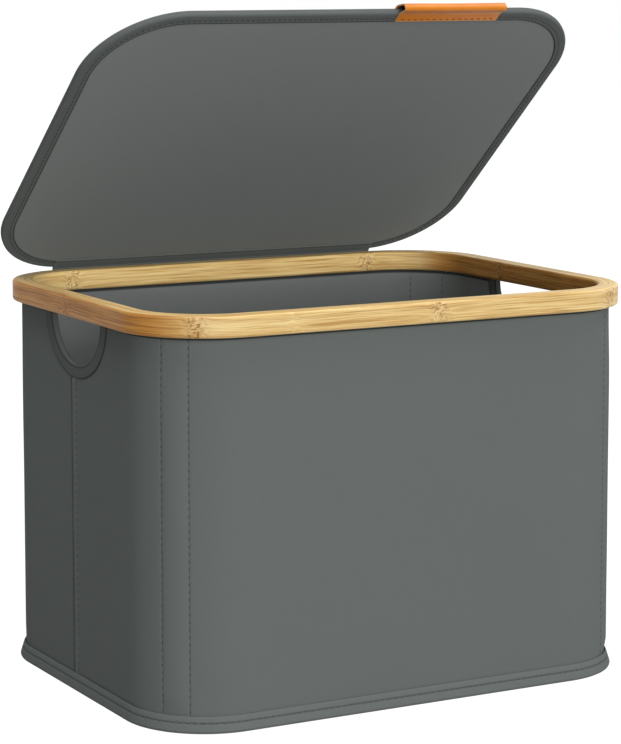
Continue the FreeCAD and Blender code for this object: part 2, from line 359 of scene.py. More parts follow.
# --- meshes ---
def link(name: str, data: bpy.types.ID) -> bpy.types.Object:
    """Makes an object and links it to the scene.

    Args:
        name: its name.
        data: its mesh, light or camera.

    Returns:
        The object.
    """
    item = bpy.data.objects.new(name, data)
    bpy.context.scene.collection.objects.link(item)
    return item


def to_object(name: str, points: np.ndarray, faces: list[np.ndarray], uv: np.ndarray | None = None,
              crease: float = 35.0) -> bpy.types.Object:
    """Puts points and faces into a mesh object at the origin.

    Args:
        name: the piece's name.
        points: (n, 3) in metres.
        faces: arrays of corner indices, one array for each number of corners.
        uv: (corners, 2) in the order of the faces' corners.
        crease: edges that bend more than this many degrees stay sharp.

    Returns:
        The linked object.
    """
    mesh = bpy.data.meshes.new(name)
    corners = np.concatenate([f.ravel() for f in faces])
    sizes = np.concatenate([np.full(len(f), f.shape[1]) for f in faces])
    mesh.vertices.add(len(points))
    mesh.loops.add(len(corners))
    mesh.polygons.add(len(sizes))
    mesh.vertices.foreach_set("co", np.ascontiguousarray(points, np.float32).ravel())
    mesh.loops.foreach_set("vertex_index", corners.astype(np.int32))
    mesh.polygons.foreach_set("loop_start", (np.cumsum(sizes) - sizes).astype(np.int32))
    mesh.update(calc_edges=True)
    if uv is not None:
        mesh.uv_layers.new(name="flat").data.foreach_set("uv", np.ascontiguousarray(uv, np.float32).ravel())
    mesh.polygons.foreach_set("use_smooth", np.ones(len(sizes), bool))
    mesh.set_sharp_from_angle(angle=math.radians(crease))
    return link(name, mesh)


def grid(name: str, points: np.ndarray, uv: np.ndarray, wrap: bool = False,
         paint: dict[str, np.ndarray] | None = None, crease: float = 35.0, flip: bool = False,
         thick: float = 0.0) -> bpy.types.Object:
    """A surface of quads over a grid of points, whose front is rows cross columns.

    Args:
        name: the piece's name.
        points: (rows, columns, 3).
        uv: flat place of each point in metres; one more row and column where the grid wraps.
        wrap: whether the last row joins the first, and the last column the first.
        paint: vertex attributes by name, each (rows, columns, 3) or anything that spreads to (rows, columns).
        crease: see to_object.
        flip: whether the front is turned to the other side.
        thick: thickness behind the front.

    Returns:
        The linked object.
    """
    rows, columns = shape = points.shape[:2]
    turn = slice(None, None, -1 if flip else 1)
    i, j = np.meshgrid(np.arange(rows - 1 + wrap), np.arange(columns - 1 + wrap), indexing="ij")
    around = np.stack([np.stack([i, i + 1, i + 1, i], -1), np.stack([j, j, j + 1, j + 1], -1)])
    quads = (around[0] % rows * columns + around[1] % columns).reshape(-1, 4)
    flat = uv[turn][around[0], around[1]].reshape(-1, 2)
    piece = to_object(name, points[turn].reshape(-1, 3), [quads], flat, crease)
    for label, values in (paint or {}).items():
        vector = np.ndim(values) == 3
        values = values if vector else np.broadcast_to(values, shape)
        attribute = piece.data.attributes.new(label, "FLOAT_VECTOR" if vector else "FLOAT", "POINT")
        flat_values = np.ascontiguousarray(values[turn], np.float32).ravel()
        attribute.data.foreach_set("vector" if vector else "value", flat_values)
    if thick:
        solid = piece.modifiers.new("thickness", "SOLIDIFY")
        solid.thickness, solid.offset, solid.use_even_offset = thick, -1, True
    return piece


def carried(x: np.ndarray, line: np.ndarray) -> np.ndarray:
    """Points (n, k, 3) of a (y, z) line of k points that is carried along x, (n, 1) or (n, k)."""
    return np.stack(np.broadcast_arrays(x, line[:, 0], line[:, 1]), -1)


def flat_grid(a: np.ndarray, b: np.ndarray) -> np.ndarray:
    """UV of a grid from its stations along rows and along columns."""
    return np.stack(np.meshgrid(a, b, indexing="ij"), -1)


# --- node trees ---
class Coordinates(Enum):
    """Which place a pattern reads."""

    UV = "UV"
    OBJECT = "Object"


class Tree:
    """Adds and joins nodes in one material or group."""

    def __init__(self, tree: bpy.types.NodeTree) -> None:
        """Starts on an empty node tree."""
        self.tree = tree

    def add(self, kind: str, settings: dict | None = None, **inputs: object) -> bpy.types.Node:
        """Adds a node.

        Args:
            kind: the node's type after "ShaderNode".
            settings: properties of the node.
            inputs: values or source sockets by input name, with _ for a space.

        Returns:
            The node.
        """
        node = self.tree.nodes.new("ShaderNode" + kind)
        for key, value in (settings or {}).items():
            setattr(node, key, value)
        for key, value in inputs.items():
            self.feed(node.inputs[key.replace("_", " ")], value)
        return node

    def feed(self, socket: bpy.types.NodeSocket, value: object) -> None:
        """Joins a source to a socket, or sets its value."""
        if isinstance(value, bpy.types.NodeSocket):
            self.tree.links.new(value, socket)
        else:
            socket.default_value = value

    def math(self, operation: str, *values: object, kind: str = "Math") -> bpy.types.NodeSocket:
        """Adds a Math or VectorMath node.

        Args:
            operation: what it works out.
            values: numbers or source sockets.
            kind: which of both nodes.

        Returns:
            Its result.
        """
        node = self.add(kind, {"operation": operation})
        for socket, value in zip(node.inputs, values):
            self.feed(socket, value)
        return node.outputs[0]

    def weigh(self, *parts: tuple[bpy.types.NodeSocket, float]) -> bpy.types.NodeSocket:
        """The sum of some values, each times its weight."""
        return reduce(lambda total, term: self.math("ADD", total, term),
                      [self.math("MULTIPLY", value, weight) for value, weight in parts])

    def painted(self, name: str, output: str = "Fac") -> bpy.types.NodeSocket:
        """A vertex attribute."""
        return self.add("Attribute", {"attribute_name": name}).outputs[output]

    def noise(self, place: bpy.types.NodeSocket, scale: tuple[float, float, float], detail: float = 2.0,
              rough: float = 0.5) -> bpy.types.NodeSocket:
        """Noise on a place stretched by a scale along each axis."""
        place = self.math("MULTIPLY", place, scale, kind="VectorMath")
        return self.add("TexNoise", Vector=place, Scale=1.0, Detail=detail, Roughness=rough).outputs["Fac"]

    def fit(self, value: object, low: float, high: float, to_low: float = 0.0,
            to_high: float = 1.0) -> bpy.types.NodeSocket:
        """Maps low..high to to_low..to_high and holds it there outside."""
        limits = {"From_Min": low, "From_Max": high, "To_Min": to_low, "To_Max": to_high}
        return self.add("MapRange", {"clamp": True}, Value=value, **limits).outputs[0]

    def mix(self, share: object, first: object, second: object, blend: str = "MIX") -> bpy.types.NodeSocket:
        """Mixes two colours.

        Args:
            share: how much of the second.
            first: a colour or its source.
            second: the other one.
            blend: how they blend.

        Returns:
            The mixed colour.
        """
        node = self.add("Mix", {"data_type": "RGBA", "blend_type": blend})
        for index, value in ((0, share), (6, first), (7, second)):
            self.feed(node.inputs[index], value)
        return node.outputs[2]


class Group:
    """A shader node group with named sockets, built once and placed in many materials."""

    def __init__(self, name: str, inputs: dict[str, str], outputs: dict[str, str]) -> None:
        """Makes the empty group.

        Args:
            name: the group's name.
            inputs: socket types by name, such as Float, Vector or Color.
            outputs: the same for what it puts out.
        """
        self.data = bpy.data.node_groups.new(name, "ShaderNodeTree")
        for direction, sockets in (("INPUT", inputs), ("OUTPUT", outputs)):
            for label, kind in sockets.items():
                self.data.interface.new_socket(label, in_out=direction, socket_type="NodeSocket" + kind)
        self.tree = Tree(self.data)
        self.source = self.data.nodes.new("NodeGroupInput").outputs
        self.result = self.data.nodes.new("NodeGroupOutput").inputs

    def give(self, **values: bpy.types.NodeSocket) -> "Group":
        """Joins results to the group's outputs of those names."""
        for name, value in values.items():
            self.tree.feed(self.result[name], value)
        return self


def weave_group() -> Group:
    """Plain weave: height 0.5 + 0.5 sin(pi a / pitch) sin(pi b / pitch), with slubs both ways.

    Returns:
        The group.
    """
    group = Group("plain_weave", {"Place": "Vector", "Pitch": "Float"}, {"Height": "Float", "Tone": "Float"})
    tree, place = group.tree, group.source["Place"]
    turns = tree.math("DIVIDE", math.pi, group.source["Pitch"])
    parts = tree.add("SeparateXYZ", Vector=place).outputs
    warp, weft = (tree.math("SINE", tree.math("MULTIPLY", parts[axis], turns)) for axis in (0, 1))
    upright = tree.noise(place, (1300, 45, 1), 2.0, 0.6)
    level = tree.noise(place, (45, 1300, 1), 2.0, 0.6)
    tone = tree.weigh((upright, 0.4), (level, 0.4), (tree.noise(place, (9, 9, 9), 3.0), 0.2))
    crossing = tree.math("MULTIPLY", warp, weft)
    return group.give(Height=tree.fit(crossing, -1, 1), Tone=tree.fit(tone, 0.32, 0.68))


def pucker_group() -> Group:
    """Small uneven ripples along a row of stitches.

    Their height is seam * patches * sin(2 pi (along / pitch + 2.4 noise)).

    Returns:
        The group.
    """
    group = Group("stitch_pucker", {"Place": "Vector", "Along": "Float", "Seam": "Float", "Pitch": "Float"},
                  {"Height": "Float"})
    tree, source = group.tree, group.source
    uneven = tree.noise(source["Place"], (170, 170, 1), 2.0)
    phase = tree.math("DIVIDE", source["Along"], source["Pitch"])
    phase = tree.math("ADD", phase, tree.math("MULTIPLY", uneven, 2.4))
    ripple = tree.math("SINE", tree.math("MULTIPLY", phase, 2 * math.pi))
    patches = tree.fit(tree.noise(source["Place"], (70, 70, 1), 2.0), 0.38, 0.66)
    return group.give(Height=tree.math("MULTIPLY", tree.math("MULTIPLY", ripple, patches), source["Seam"]))


def bamboo_group() -> Group:
    """Bamboo fibres along the ring, bands of tone, and the dark strokes of a knuckle where it is painted.

    Fibres are noise stretched along the ring; near a knuckle they swirl, and short slanted strokes of a
    second noise come through in proportion to the painted strength.

    Returns:
        The group.
    """
    names = ("Tone", "Streak", "Fleck", "Scar", "Height")
    group = Group("bamboo_grain", {"Grain": "Vector", "Knuckle": "Float"}, dict.fromkeys(names, "Float"))
    tree, grain, knuckle = group.tree, group.source["Grain"], group.source["Knuckle"]
    bend = tree.math("SUBTRACT", tree.noise(grain, (75, 75, 170), 2.0), 0.5)
    swirl = tree.math("MULTIPLY", bend, tree.math("MULTIPLY", knuckle, 0.016))
    sway = tree.math("MULTIPLY", tree.math("SUBTRACT", tree.noise(grain, (12, 12, 60), 2.0), 0.5), 0.0008)
    shift = tree.add("CombineXYZ", Z=tree.math("ADD", swirl, sway)).outputs[0]
    bent = tree.math("ADD", grain, shift, kind="VectorMath")
    fine = tree.noise(bent, (16, 16, 1100), 4.0, 0.62)
    broad = tree.noise(bent, (10, 10, 360), 3.0, 0.55)
    tone = tree.weigh((fine, 0.56), (broad, 0.27), (tree.noise(bent, (5, 5, 100), 2.0), 0.17))
    streak = tree.noise(bent, (14, 14, 900), 3.0, 0.6)
    strokes = tree.noise(bent, (400, 400, 900), 3.0, 0.6)
    away = tree.math("ADD", tree.math("MULTIPLY", strokes, 0.5), 0.12)
    reach = tree.fit(tree.math("SUBTRACT", knuckle, away), 0.0, 0.4)
    scars = tree.noise(bent, (150, 150, 520), 2.0, 0.5)
    return group.give(
        Tone=tree.fit(tone, 0.40, 0.60), Streak=tree.fit(streak, 0.52, 0.65),
        Fleck=tree.math("MULTIPLY", tree.fit(strokes, 0.51, 0.59), reach),
        Scar=tree.math("MULTIPLY", tree.fit(scars, 0.50, 0.62), knuckle), Height=fine)


def leather_group() -> Group:
    """Fine pebbled grain: cells about half a millimetre across over slow tone clouds.

    Returns:
        The group.
    """
    group = Group("leather_grain", {"Place": "Vector"}, {"Tone": "Float", "Height": "Float"})
    tree, place = group.tree, group.source["Place"]
    cells = tree.add("TexVoronoi", {"feature": "SMOOTH_F1"}, Vector=place, Scale=1500.0, Smoothness=0.6)
    pores = tree.math("MULTIPLY", tree.noise(place, (2600, 2600, 1), 3.0), 0.5)
    return group.give(Height=tree.math("ADD", cells.outputs["Distance"], pores),
                      Tone=tree.fit(tree.noise(place, (60, 140, 1), 4.0, 0.6), 0.3, 0.7))


@cache
def shared(maker: Callable[[], Group]) -> bpy.types.NodeTree:
    """The node group that a function makes, built when it is first asked for."""
    return maker().data


# --- finishes ---
Colour = tuple[float, float, float]
WHITE: Colour = (1.0, 1.0, 1.0)
GREY: Colour = (0.138, 0.153, 0.147)


def shade(colour: Colour, by: float = 1.0) -> tuple[float, float, float, float]:
    """A linear colour made lighter or darker, with alpha."""
    return (colour[0] * by, colour[1] * by, colour[2] * by, 1.0)


class Surface(Tree):
    """The tree of a new material with a plain Principled shader."""

    def __init__(self, name: str) -> None:
        """Starts the material.

        Args:
            name: its name.
        """
        self.material = bpy.data.materials.new(name)
        self.material.use_nodes = True
        super().__init__(self.material.node_tree)
        self.shader = self.tree.nodes["Principled BSDF"].inputs

    def place(self, kind: Coordinates = Coordinates.UV) -> bpy.types.NodeSocket:
        """The place that a pattern reads."""
        return self.add("TexCoord").outputs[kind.value]

    def pattern(self, maker: Callable[[], Group], **inputs: object) -> bpy.types.NodeOutputs:
        """Places a shared group with this material's own values."""
        return self.add("Group", {"node_tree": shared(maker)}, **inputs).outputs

    def bump(self, height: bpy.types.NodeSocket, distance: float, strength: float = 1.0,
             **inputs: object) -> bpy.types.NodeSocket:
        """The normal of a Bump node."""
        node = self.add("Bump", Strength=strength, Distance=distance, Height=height, **inputs)
        return node.outputs["Normal"]

    def done(self, colour: object, roughness: object, specular: float,
             normal: bpy.types.NodeSocket | None = None) -> bpy.types.Material:
        """Feeds the shader.

        Args:
            colour: base colour or its source.
            roughness: roughness or its source.
            specular: specular level.
            normal: source of the normal.

        Returns:
            The material.
        """
        self.feed(self.shader["Base Color"], colour)
        self.feed(self.shader["Roughness"], roughness)
        self.feed(self.shader["Specular IOR Level"], specular)
        if normal is not None:
            self.feed(self.shader["Normal"], normal)
        return self.material


@dataclass(frozen=True)
class Cloth:
    """Dull woven polyester. It puckers where "seam" is painted, and its colour is darkened as painted shade
    where "fold" is painted.
    """

    name: str
    colour: Colour
    pitch: float = 0.62 * MM
    contrast: float = 0.035
    relief: float = 0.12 * MM
    pucker: float = 0.07 * MM
    pucker_pitch: float = 4.2 * MM
    along_rows: bool = False
    painted_shade_depth: float = 0.78
    roughness: tuple[float, float] = (0.92, 0.82)
    specular: float = 0.1
    coordinates: Coordinates = Coordinates.UV

    def material(self) -> bpy.types.Material:
        """Builds the material.

        Returns:
            The material.
        """
        tree = Surface(self.name)
        place = tree.place(self.coordinates)
        weave = tree.pattern(weave_group, Place=place, Pitch=self.pitch)
        dark, light = shade(self.colour, 1 - self.contrast), shade(self.colour, 1 + self.contrast)
        colour = tree.mix(weave["Tone"], dark, light)
        normal = tree.bump(weave["Height"], self.relief)
        if self.coordinates is Coordinates.UV:
            # painted shade: the colour is darkened where fold is painted
            colour = tree.mix(tree.painted("fold"), colour, shade(self.colour, 1 - self.painted_shade_depth))
            along = tree.add("SeparateXYZ", Vector=place).outputs[0 if self.along_rows else 1]
            ripple = tree.pattern(pucker_group, Place=place, Along=along, Seam=tree.painted("seam"),
                                  Pitch=self.pucker_pitch)
            normal = tree.bump(ripple["Height"], self.pucker, Normal=normal)
        return tree.done(colour, tree.fit(weave["Tone"], 0, 1, *self.roughness), self.specular, normal)


@dataclass(frozen=True)
class Bamboo:
    """Satin bamboo: fibres round the ring, knuckles where they are painted, and painted shade (redder) or
    painted light (paler) by face.
    """

    name: str
    dark: Colour = (0.50, 0.285, 0.09)
    middle: Colour = (0.75, 0.515, 0.205)
    light: Colour = (0.88, 0.68, 0.33)
    # painted light: the paler tint for the faces that are marked below 0
    pale: Colour = (1.12, 1.10, 1.03)
    streak: Colour = (0.42, 0.22, 0.07)
    fleck: Colour = (0.27, 0.105, 0.02)
    scar: Colour = (0.93, 0.74, 0.40)
    # painted shade: the redder, darker tint for the faces that are marked above 0
    painted_shade_tint: Colour = (0.64, 0.355, 0.08)
    roughness: tuple[float, float] = (0.52, 0.42)
    specular: float = 0.28
    relief: float = 0.12 * MM

    def material(self) -> bpy.types.Material:
        """Builds the material.

        Returns:
            The material.
        """
        tree = Surface(self.name)
        painted_light_and_shade = tree.painted("painted_light_and_shade")
        wood = tree.pattern(bamboo_group, Grain=tree.painted("grain", "Vector"),
                            Knuckle=tree.painted("knuckle"))
        lower = tree.mix(tree.fit(wood["Tone"], 0.0, 0.45), shade(self.dark), shade(self.middle))
        colour = tree.mix(tree.fit(wood["Tone"], 0.45, 1.0), lower, shade(self.light))
        # painted shade: streaks show more on the faces that are marked for shade
        drawn = tree.math("MULTIPLY", wood["Streak"], tree.fit(painted_light_and_shade, 0.0, 1.0, 0.45, 1.0))
        colour = tree.mix(drawn, colour, shade(self.streak))
        colour = tree.mix(tree.math("MULTIPLY", wood["Scar"], 0.7), colour, shade(self.scar))
        colour = tree.mix(tree.math("MULTIPLY", wood["Fleck"], 0.8), colour, shade(self.fleck))
        # painted light and shade: the tint by face, paler below 0 and redder above
        tint = tree.mix(tree.fit(painted_light_and_shade, -1.0, 0.0), shade(self.pale), shade(WHITE))
        tint = tree.mix(tree.fit(painted_light_and_shade, 0.0, 1.0), tint, shade(self.painted_shade_tint))
        colour = tree.mix(1.0, colour, tint, "MULTIPLY")
        roughness = tree.fit(wood["Tone"], 0, 1, *self.roughness)
        return tree.done(colour, roughness, self.specular, tree.bump(wood["Height"], self.relief, 0.5))


@dataclass(frozen=True)
class Leather:
    """Smooth tan leather with a fine grain and raw cut edges, where "edge" is painted."""

    name: str
    colour: Colour
    raw: Colour = (0.60, 0.36, 0.19)
    roughness: tuple[float, float] = (0.38, 0.30)
    specular: float = 0.27
    relief: float = 0.06 * MM

    def material(self) -> bpy.types.Material:
        """Builds the material.

        Returns:
            The material.
        """
        tree = Surface(self.name)
        grain = tree.pattern(leather_group, Place=tree.place())
        tone = tree.mix(grain["Tone"], shade(self.colour, 0.93), shade(self.colour, 1.06))
        colour = tree.mix(tree.painted("edge"), tone, shade(self.raw))
        roughness = tree.fit(grain["Tone"], 0, 1, *self.roughness)
        return tree.done(colour, roughness, self.specular, tree.bump(grain["Height"], self.relief, 0.5))


@dataclass(frozen=True)
class Yarn:
    """Twisted sewing thread: slanted plies across its UV."""

    name: str
    colour: Colour
    roughness: float = 0.75
    specular: float = 0.3

    def material(self) -> bpy.types.Material:
        """Builds the material.

        Returns:
            The material.
        """
        tree = Surface(self.name)
        parts = tree.add("SeparateXYZ", Vector=tree.place()).outputs
        slant = tree.weigh((parts[0], 5.0), (parts[1], 2.0))
        ply = tree.math("SINE", tree.math("MULTIPLY", slant, 2 * math.pi))
        colour = tree.mix(tree.fit(ply, -1, 1), shade(self.colour, 0.8), shade(self.colour, 1.2))
        return tree.done(colour, self.roughness, self.specular)


@dataclass(frozen=True)
class Board:
    """Pressed fibre board, which the cloth hides."""

    name: str
    colour: Colour = (0.30, 0.27, 0.22)
    roughness: float = 0.9
    specular: float = 0.5

    def material(self) -> bpy.types.Material:
        """Builds the material.

        Returns:
            The material.
        """
        tree = Surface(self.name)
        fibres = tree.noise(tree.place(Coordinates.OBJECT), (400, 400, 400), 4.0, 0.6)
        colour = tree.mix(fibres, shade(self.colour, 0.8), shade(self.colour, 1.2))
        return tree.done(colour, self.roughness, self.specular)


def rim_underside() -> float:
    """Height of the wood's underside at its outer edge, which is planed a little off the solid's."""
    return extent("bamboo_rim")[0][2] + 1.3 * MM


def wall_outline() -> Outline:
    """Outline of the cloth walls."""
    return Outline.around(WALL_CORNER, *WALL_NODES)


class Finishes:
    """Every material of the hamper, made once."""

    def __init__(self) -> None:
        """Makes them all."""
        tape, hole_tape = (tuple(part * by for part in GREY) for by in (0.88, 0.78))
        self.cloth = Cloth("slate_cloth", GREY).material()
        # painted light: the lining is a lighter grey than the cover, to brighten the inside and the lid's
        # underside, which lie in shade
        self.lining = Cloth("slate_lining_painted_light", (0.222, 0.240, 0.237)).material()
        self.strip = Cloth("slate_hinge_cloth", GREY, along_rows=True).material()
        self.band = Cloth("slate_band", GREY, pucker=0.16 * MM, along_rows=True).material()
        self.tape = Cloth("slate_tape", tape, pucker=0.16 * MM, along_rows=True).material()
        self.hole_tape = Cloth("dark_slate_tape", hole_tape, pucker=0.08 * MM, along_rows=True).material()
        self.plain = Cloth("slate_cloth_flat", GREY, coordinates=Coordinates.OBJECT).material()
        self.bamboo = Bamboo("bamboo").material()
        self.leather = Leather("tan_leather", (0.69, 0.212, 0.012)).material()
        # painted shade: the strap's flesh side is nearly black, for the shade inside the tab's hollow fold
        self.flesh_shade = Leather("leather_flesh_painted_shade", (0.15, 0.055, 0.02)).material()
        self.thread = Yarn("slate_thread", (0.042, 0.048, 0.046)).material()
        self.tan_thread = Yarn("brown_thread", (0.13, 0.047, 0.018)).material()
        self.board = Board("fibre_board").material()


class Body(Enum):
    """The two bodies of the hamper."""

    BASKET = "basket"
    LID = "lid"


def dress(piece: bpy.types.Object, finish: bpy.types.Material, slot: str, body: Body | None,
          *nodes: str) -> None:
    """Gives a new piece its finish and its body, and hides the CAD nodes that it stands for.

    Args:
        piece: the new piece.
        finish: its material.
        slot: the record's material slot; not used.
        body: the body that it rides on, or None where it bends between both.
        nodes: the CAD nodes that it replaces.
    """
    piece.data.materials.append(finish)
    if body is not None:
        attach(piece, body.value)
    if nodes:
        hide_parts(*nodes)
    LOG.info("%s: %d faces", piece.name, len(piece.data.polygons))


def refinish(name: str, finish: bpy.types.Material) -> None:
    """Gives a CAD node that stays as it is a finish.

    Args:
        name: the node's name.
        finish: its material.
    """
    node = frame["nodes"][name]
    node.data.materials.clear()
    node.data.materials.append(finish)
    LOG.info("%s: as it is", name)


# --- stitches ---
@dataclass(frozen=True)
class Thread:
    """Size of the stitches in a row."""

    pitch: float = 6.2 * MM
    share: float = 0.6
    radius: float = 0.42 * MM
    proud: float = 0.30
    dip: float = 0.7


FINE_THREAD = Thread(radius=0.36 * MM)


class Stitching:
    """Rows of stitches that are sewn into one piece.

    Each stitch is a small closed capsule: three rings of six points about the row's line, with radii
    r * sqrt(1 - a^2) at a = -0.6, 0 and 0.6 of its half length, and a pole at each end. Its height over
    the cloth is r * (proud - dip a^2), so that its ends dip into the needle holes.
    """

    RINGS = np.array([-0.6, 0.0, 0.6])
    SIDES = 6

    def __init__(self, thread: Thread) -> None:
        """Starts with no rows."""
        self.thread = thread
        self.parts: list[np.ndarray] = []

    def row(self, line: np.ndarray, normals: np.ndarray, closed: bool = False) -> None:
        """Adds a row of stitches along a line that lies on the cloth.

        Args:
            line: (n, 3) points close together.
            normals: (n, 3) outward normals of the cloth there.
            closed: whether the row runs round and meets its start.
        """
        if closed:
            line, normals = (np.concatenate([part, part[:1]]) for part in (line, normals))
        thread, along = self.thread, run_length(line)
        count = int(along[-1] / thread.pitch)
        middle = (np.arange(count) + 0.5) * along[-1] / count
        half = thread.pitch * thread.share / 2
        centre, up = resample(middle, along, line), resample(middle, along, normals)
        ahead = unit(resample(middle + half, along, line) - resample(middle - half, along, line))
        up = unit(up - (up * ahead).sum(1, keepdims=True) * ahead)
        side = np.cross(ahead, up)
        turn = np.arange(self.SIDES) * 2 * math.pi / self.SIDES
        thick = thread.radius * np.sqrt(1 - self.RINGS ** 2)
        lift = thread.radius * (thread.proud - thread.dip * self.RINGS ** 2)
        spine = centre[:, None] + ahead[:, None] * (self.RINGS * half)[:, None] + up[:, None] * lift[:, None]
        spoke = side[:, None, None] * np.cos(turn)[:, None] + up[:, None, None] * np.sin(turn)[:, None]
        rings = (spine[:, :, None] + thick[:, None, None] * spoke).reshape(count, -1, 3)
        drop = up * thread.radius * (thread.proud - thread.dip)
        poles = np.stack([centre - ahead * half + drop, centre + ahead * half + drop], 1)
        self.parts.append(np.concatenate([rings, poles], 1))

    def build(self, name: str, finish: bpy.types.Material, slot: str, body: Body) -> None:
        """Makes one piece of all rows: rings joined by quads, and a fan of triangles round each pole.

        Args:
            name: the piece's name.
            finish: its material.
            slot: the record's material slot.
            body: the body that it rides on.
        """
        stitches = np.concatenate(self.parts)
        sides, last = self.SIDES, (len(self.RINGS) - 1) * self.SIDES
        each = last + sides + 2
        k = np.arange(sides)
        following = (k + 1) % sides
        first = np.arange(0, last, sides)[:, None]
        quads = np.stack([first + sides + k, first + sides + following, first + following, first + k], -1)
        start = np.stack([np.full(sides, each - 2), k, following], -1)
        end = np.stack([np.full(sides, each - 1), last + following, last + k], -1)
        kinds = (quads.reshape(-1, 4), np.concatenate([start, end]))
        shift = np.arange(len(stitches))[:, None, None] * each
        ring_place = flat_grid((self.RINGS + 1) / 2, k / sides).reshape(-1, 2)
        place = np.concatenate([ring_place, [[0, 0.5], [1, 0.5]]])
        piece = to_object(name, stitches.reshape(-1, 3), [(f + shift).reshape(-1, f.shape[1]) for f in kinds],
                          np.concatenate([np.tile(place[f.ravel()], (len(stitches), 1)) for f in kinds]),
                          crease=80.0)
        dress(piece, finish, slot, body)


# --- basket ---
@dataclass
class BambooRim:
    """The bent bamboo ring, with a groove underneath that takes the walls."""

    finishes: Finishes
    corner: float = 79.0 * MM
    thick: float = 18.2 * MM
    edge_round: float = 2.4 * MM
    lower_round: float = 3.2 * MM
    groove_out: float = 6.7 * MM
    groove_in: float = 13.0 * MM
    groove_deep: float = 10.7 * MM
    section_step: float = 2.0 * MM
    sections: int = 620
    knuckle_wide: float = 11.0 * MM
    knuckle_margin: float = 1.0 * MM
    # Where and how strongly shade and light are painted on the faces of the ring.
    painted_shade_margin: float = 1.5 * MM
    painted_shade_from: float = 15.7 * MM
    painted_shade_left: float = 0.9
    painted_shade_right: float = 0.3
    painted_shade_inside_left: float = 0.2
    painted_shade_inside_right: float = 0.8
    painted_shade_top_left: float = 0.1

    def build(self) -> None:
        """Carries the section round the ring and paints grain, knuckles, and shade and light by face on it.
        """
        self.outline = Outline.around(self.corner, "bamboo_rim")
        self.under, self.top = rim_underside(), extent("bamboo_rim")[1][2]
        roof = self.under + self.groove_deep
        section = rounded_line([
            (0, self.under, self.edge_round), (0, self.top, self.edge_round),
            (-self.thick, self.top, self.edge_round), (-self.thick, self.under, self.lower_round),
            (-self.groove_in, self.under, 0), (-self.groove_in, roof, 0), (-self.groove_out, roof, 0),
            (-self.groove_out, self.under, 0)], closed=True, steps=6, longest=self.section_step)
        s = np.linspace(0, self.outline.perimeter, self.sections, endpoint=False)
        # the third attribute paints shade and light by face
        paint = {"grain": self.grain(s, run_length(section)), "knuckle": self.knuckles(s, section),
                 "painted_light_and_shade": self.painted_light_and_shade(s, section)}
        piece = grid("bent_bamboo_rim", self.outline.sweep(s, *section.T), self.outline.unrolled(s, section),
                     wrap=True, paint=paint)
        dress(piece, self.finishes.bamboo, "bamboo", Body.BASKET, "bamboo_rim")

    def grain(self, s: np.ndarray, around: np.ndarray) -> np.ndarray:
        """Grain place: the ring's arc length wound on a circle of the same length, so that no seam shows.

        Args:
            s: stations (n,).
            around: arc lengths along the section (k,).

        Returns:
            Places (n, k, 3).
        """
        turn = (s / self.outline.perimeter * 2 * math.pi)[:, None]
        radius = self.outline.perimeter / (2 * math.pi)
        return np.stack(np.broadcast_arrays(radius * np.cos(turn), radius * np.sin(turn), around), -1)

    def knuckles(self, s: np.ndarray, section: np.ndarray) -> np.ndarray:
        """How strongly a bamboo knuckle shows at each point: bells along s, each on one face of the ring.

        Args:
            s: stations (n,).
            section: the ring's section (k, 2).

        Returns:
            Strengths (n, k).
        """
        knots, period = self.outline.knots, self.outline.perimeter
        left, front, right = ((knots[k] + knots[k + 1]) / 2 for k in (2, 4, 6))
        outer = {left - 2 * MM: 1.0, front - 205 * MM: 1.0, front - 118 * MM: 0.45, front + 20 * MM: 0.9,
                 knots[5] + 43 * MM: 1.0, right + 60 * MM: 0.9, knots[8] - 20 * MM: 0.8, 130 * MM: 0.8}
        inner = {163 * MM: 1.0, period - 150 * MM: 0.9, right + 38 * MM: 1.0, front + 90 * MM: 0.8,
                 left + 30 * MM: 0.7}
        above = {front - 60 * MM: 0.5, right + 10 * MM: 0.5, left - 40 * MM: 0.6}
        out, height = section.T
        painted = np.zeros((len(s), len(section)))
        for marks, face in ((outer, out > -self.knuckle_margin),
                            (inner, out < -self.thick + self.knuckle_margin),
                            (above, height > self.top - self.knuckle_margin)):
            for place, strength in marks.items():
                away = np.mod(s - place + period / 2, period) - period / 2
                bell = strength * dent(away, 0.0, self.knuckle_wide)
                painted = np.maximum(painted, bell[:, None] * face)
        return painted

    def painted_light_and_shade(self, s: np.ndarray, section: np.ndarray) -> np.ndarray:
        """Painted shade and light by face: redder and darker mostly on the left face and inside the ring's
        right side, which lie in shade, and paler inside the front and back.

        Args:
            s: stations (n,).
            section: the ring's section (k, 2).

        Returns:
            1 for painted shade, red-brown; 0 for plain; -1 for painted light, pale; (n, k).
        """
        out, height = section.T
        facing = self.outline.trace(s)[1][:, :1]
        sideways = smooth(np.abs(facing), 0.3, 1.0)
        outer = np.where(facing < 0, self.painted_shade_left, self.painted_shade_right) * sideways
        inner = np.where(facing > 0, self.painted_shade_inside_right, self.painted_shade_inside_left) * sideways
        inner = inner - (1 - sideways)
        top = np.where(facing < 0, self.painted_shade_top_left, 0.0) * sideways
        beside, within = out > -self.painted_shade_margin, out < -self.thick + self.painted_shade_margin
        face = np.where(within, inner, np.where(beside, outer, 0.0))
        level = (height > self.under + self.painted_shade_from) & (out < -self.painted_shade_margin)
        return np.where(level & (out > -self.thick + self.painted_shade_margin), top, face)


